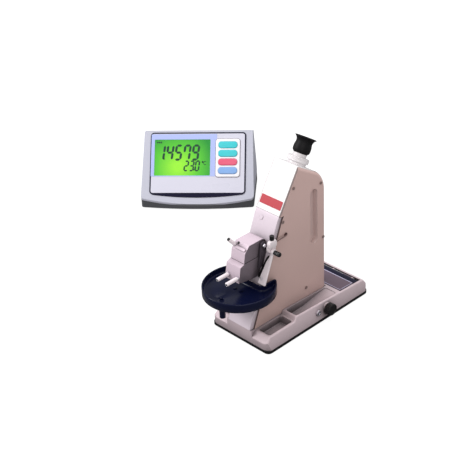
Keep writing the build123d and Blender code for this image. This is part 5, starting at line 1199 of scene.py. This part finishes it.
def makeBracket(d):
    # A round head behind the hub, and a rounded block that carries the lock knob
    r, start, end, e = d["headRadius"], d["headStart"], d["headEnd"], d["headEdge"]
    profile = [(0, start), (r - 0.3, start), (r, start + 0.3)]
    profile += [(r - e + e * np.cos(x), end - e + e * np.sin(x)) for x in np.linspace(0, np.pi / 2, 5)] + [(0, end)]
    head = turnedPiece("lampHead", sideAt(onInstrument(0, d["y"] + d["headBack"], d["z"] + d["headUp"])), profile, 64)
    block = slab("lampBlock", sideAt(onInstrument(d["blockX"], d["y"], 0)), *d["block"], -4.0, 2.2, 1.0, 0.4)
    return joined("lampBracket", [head, block])


def makeArm(d):
    # A wedge of sheet with a turned hub at its top, and a dark bar beside it that paints the shade between the arm and
    # the prisms
    front = leaning(onInstrument(d["x"], d["y"], d["z"]), d["lean"])
    sheet = slab("armSheet", front, *d["arm"], d["faceOut"] - d["sheet"], d["faceOut"], 0.6, 0.3)
    a, b, r, pin = d["hubStart"], d["hubEnd"], d["hub"], d["pin"]
    profile = [(pin, a), (r - 0.4, a), (r, a + 0.4), (r, b - 0.6), (r - 0.6, b), (pin + 0.3, b), (pin, b - 0.3),
               (pin, a)]
    hub = turnedPiece("armHub", sideAt(onInstrument(0, d["y"], d["z"])), profile, 48)
    return joined("lampArm", [sheet, hub]), slab("lampShadeBar", front, *d["shadeBar"], -0.4, 1.9, 0.5, 0.3, 5)


dress(makeBracket(lamp), "instrument", "armWhite", "cast_aluminium", "lamp_bracket")
arm, shadeBar = makeArm(lamp)
dress(arm, "lamp", "armWhite", "prism_metal", "lamp_arm")
dress(shadeBar, "lamp", "blackPlastic", "black_plastic")
print("lamp made")


# Prism boxes: hose sleeves with dark bores, sensor plug and hinge caps
boxes = {"tube": 3.2, "bore": 1.7, "lowerStart": 10.6, "lowerEnd": 32.6, "lowerZ": 125.0, "lowerX": (-8.7, 11.0),
         "upperTube": 3.1, "upperMouth": 2.6, "upperX": -11.6, "upperAngle": 48.0, "upperStart": 0.6,
         "upperEnd": 19.3, "upperDark": 19.55, "pinY": 41.5, "pinZ": 163.5, "pinEnd": 19.5, "cap": 3.3,
         "capFoot": 0.3, "sensor": 1.8, "sensorX": -6.5, "sensorUp": 4.4,
         "low": (5.6, 162.8), "high": (15.1, 173.0)}  # ends of the upper box's slope, as y and z


def makeTube(p, start, end, radius, bore):
    # A hose nipple's sleeve, with a rounded mouth and a short blind bore
    profile = [(0, start), (radius - 0.2, start), (radius, start + 0.2), (radius, end - 0.6),
               (radius - 0.2, end - 0.15), (radius - 0.6, end), (bore + 0.3, end), (bore, end - 0.4),
               (bore, end - 9.0), (0, end - 9.0)]
    return turnedPiece("sleeve", p, profile, 40)


def makeBoreEnd(p, end, radius):
    # A black disc just inside the mouth that paints the shade deep in the bore, as a flat disc with a short skirt
    profile = [(0, end - 2.0), (radius, end - 2.0), (radius, end + 0.05), (0, end + 0.05)]
    return turnedPiece("boreEnd", p, profile, 32)


def addNipples(d):
    ahead = [leaning(onInstrument(x, 0, d["lowerZ"]), 0) for x in d["lowerX"]]
    tubes = [makeTube(p, d["lowerStart"], d["lowerEnd"], d["tube"], d["bore"]) for p in ahead]
    dress(joined("lowerSleeves", tubes), "instrument", "armWhite", "plated_brass")
    ends = [makeBoreEnd(p, d["lowerEnd"], d["bore"]) for p in ahead]
    dress(joined("lowerBoreEnds", ends), "instrument", "shadeBlack", "black_plastic")
    up = leaning(onInstrument(d["upperX"], *np.add(d["low"], d["high"]) / 2), d["upperAngle"])
    dress(makeTube(up, d["upperStart"], d["upperEnd"], d["upperTube"], d["bore"]), "prism_lid", "armWhite",
          "plated_brass")
    dress(makeBoreEnd(up, d["upperDark"], d["upperMouth"]), "prism_lid", "shadeBlack", "black_plastic")


def addPlugAndCaps(d):
    # Two domes: r cos x, foot + height * sin x
    q = np.linspace(0, np.pi / 2, 5)[:-1]
    run, climb = np.subtract(d["high"], d["low"])
    slope = plane(onInstrument(0, *np.add(d["low"], d["high"]) / 2), (1, 0, 0), (0, -climb, run))
    slope["o"] = inPlane(slope, np.float64(d["sensorX"]), np.float64(d["sensorUp"]), np.float64(0))
    r = d["sensor"]
    dome = [(0, -1.5), (r, -1.5), (r, 0.6)] + [(r * np.cos(x), 0.8 + 0.9 * np.sin(x)) for x in q] + [(0, 1.7)]
    dress(turnedPiece("sensorPlug", slope, dome, 32), "prism_lid", "blackPlastic", "black_plastic")
    r, foot, rise = d["cap"], d["capFoot"], d["cap"] - 0.9
    cap = [(0, -0.2), (r, -0.2)] + [(r * np.cos(x), foot + rise * np.sin(x)) for x in q] + [(0, foot + rise)]
    caps = [turnedPiece("cap", sideAt(onInstrument(hand * d["pinEnd"], d["pinY"], d["pinZ"]), hand), cap, 32)
            for hand in (-1, 1)]
    dress(joined("hingeCaps", caps), "instrument", "platedBrass", "steel")


addNipples(boxes)
addPlugAndCaps(boxes)
print("prism boxes dressed")
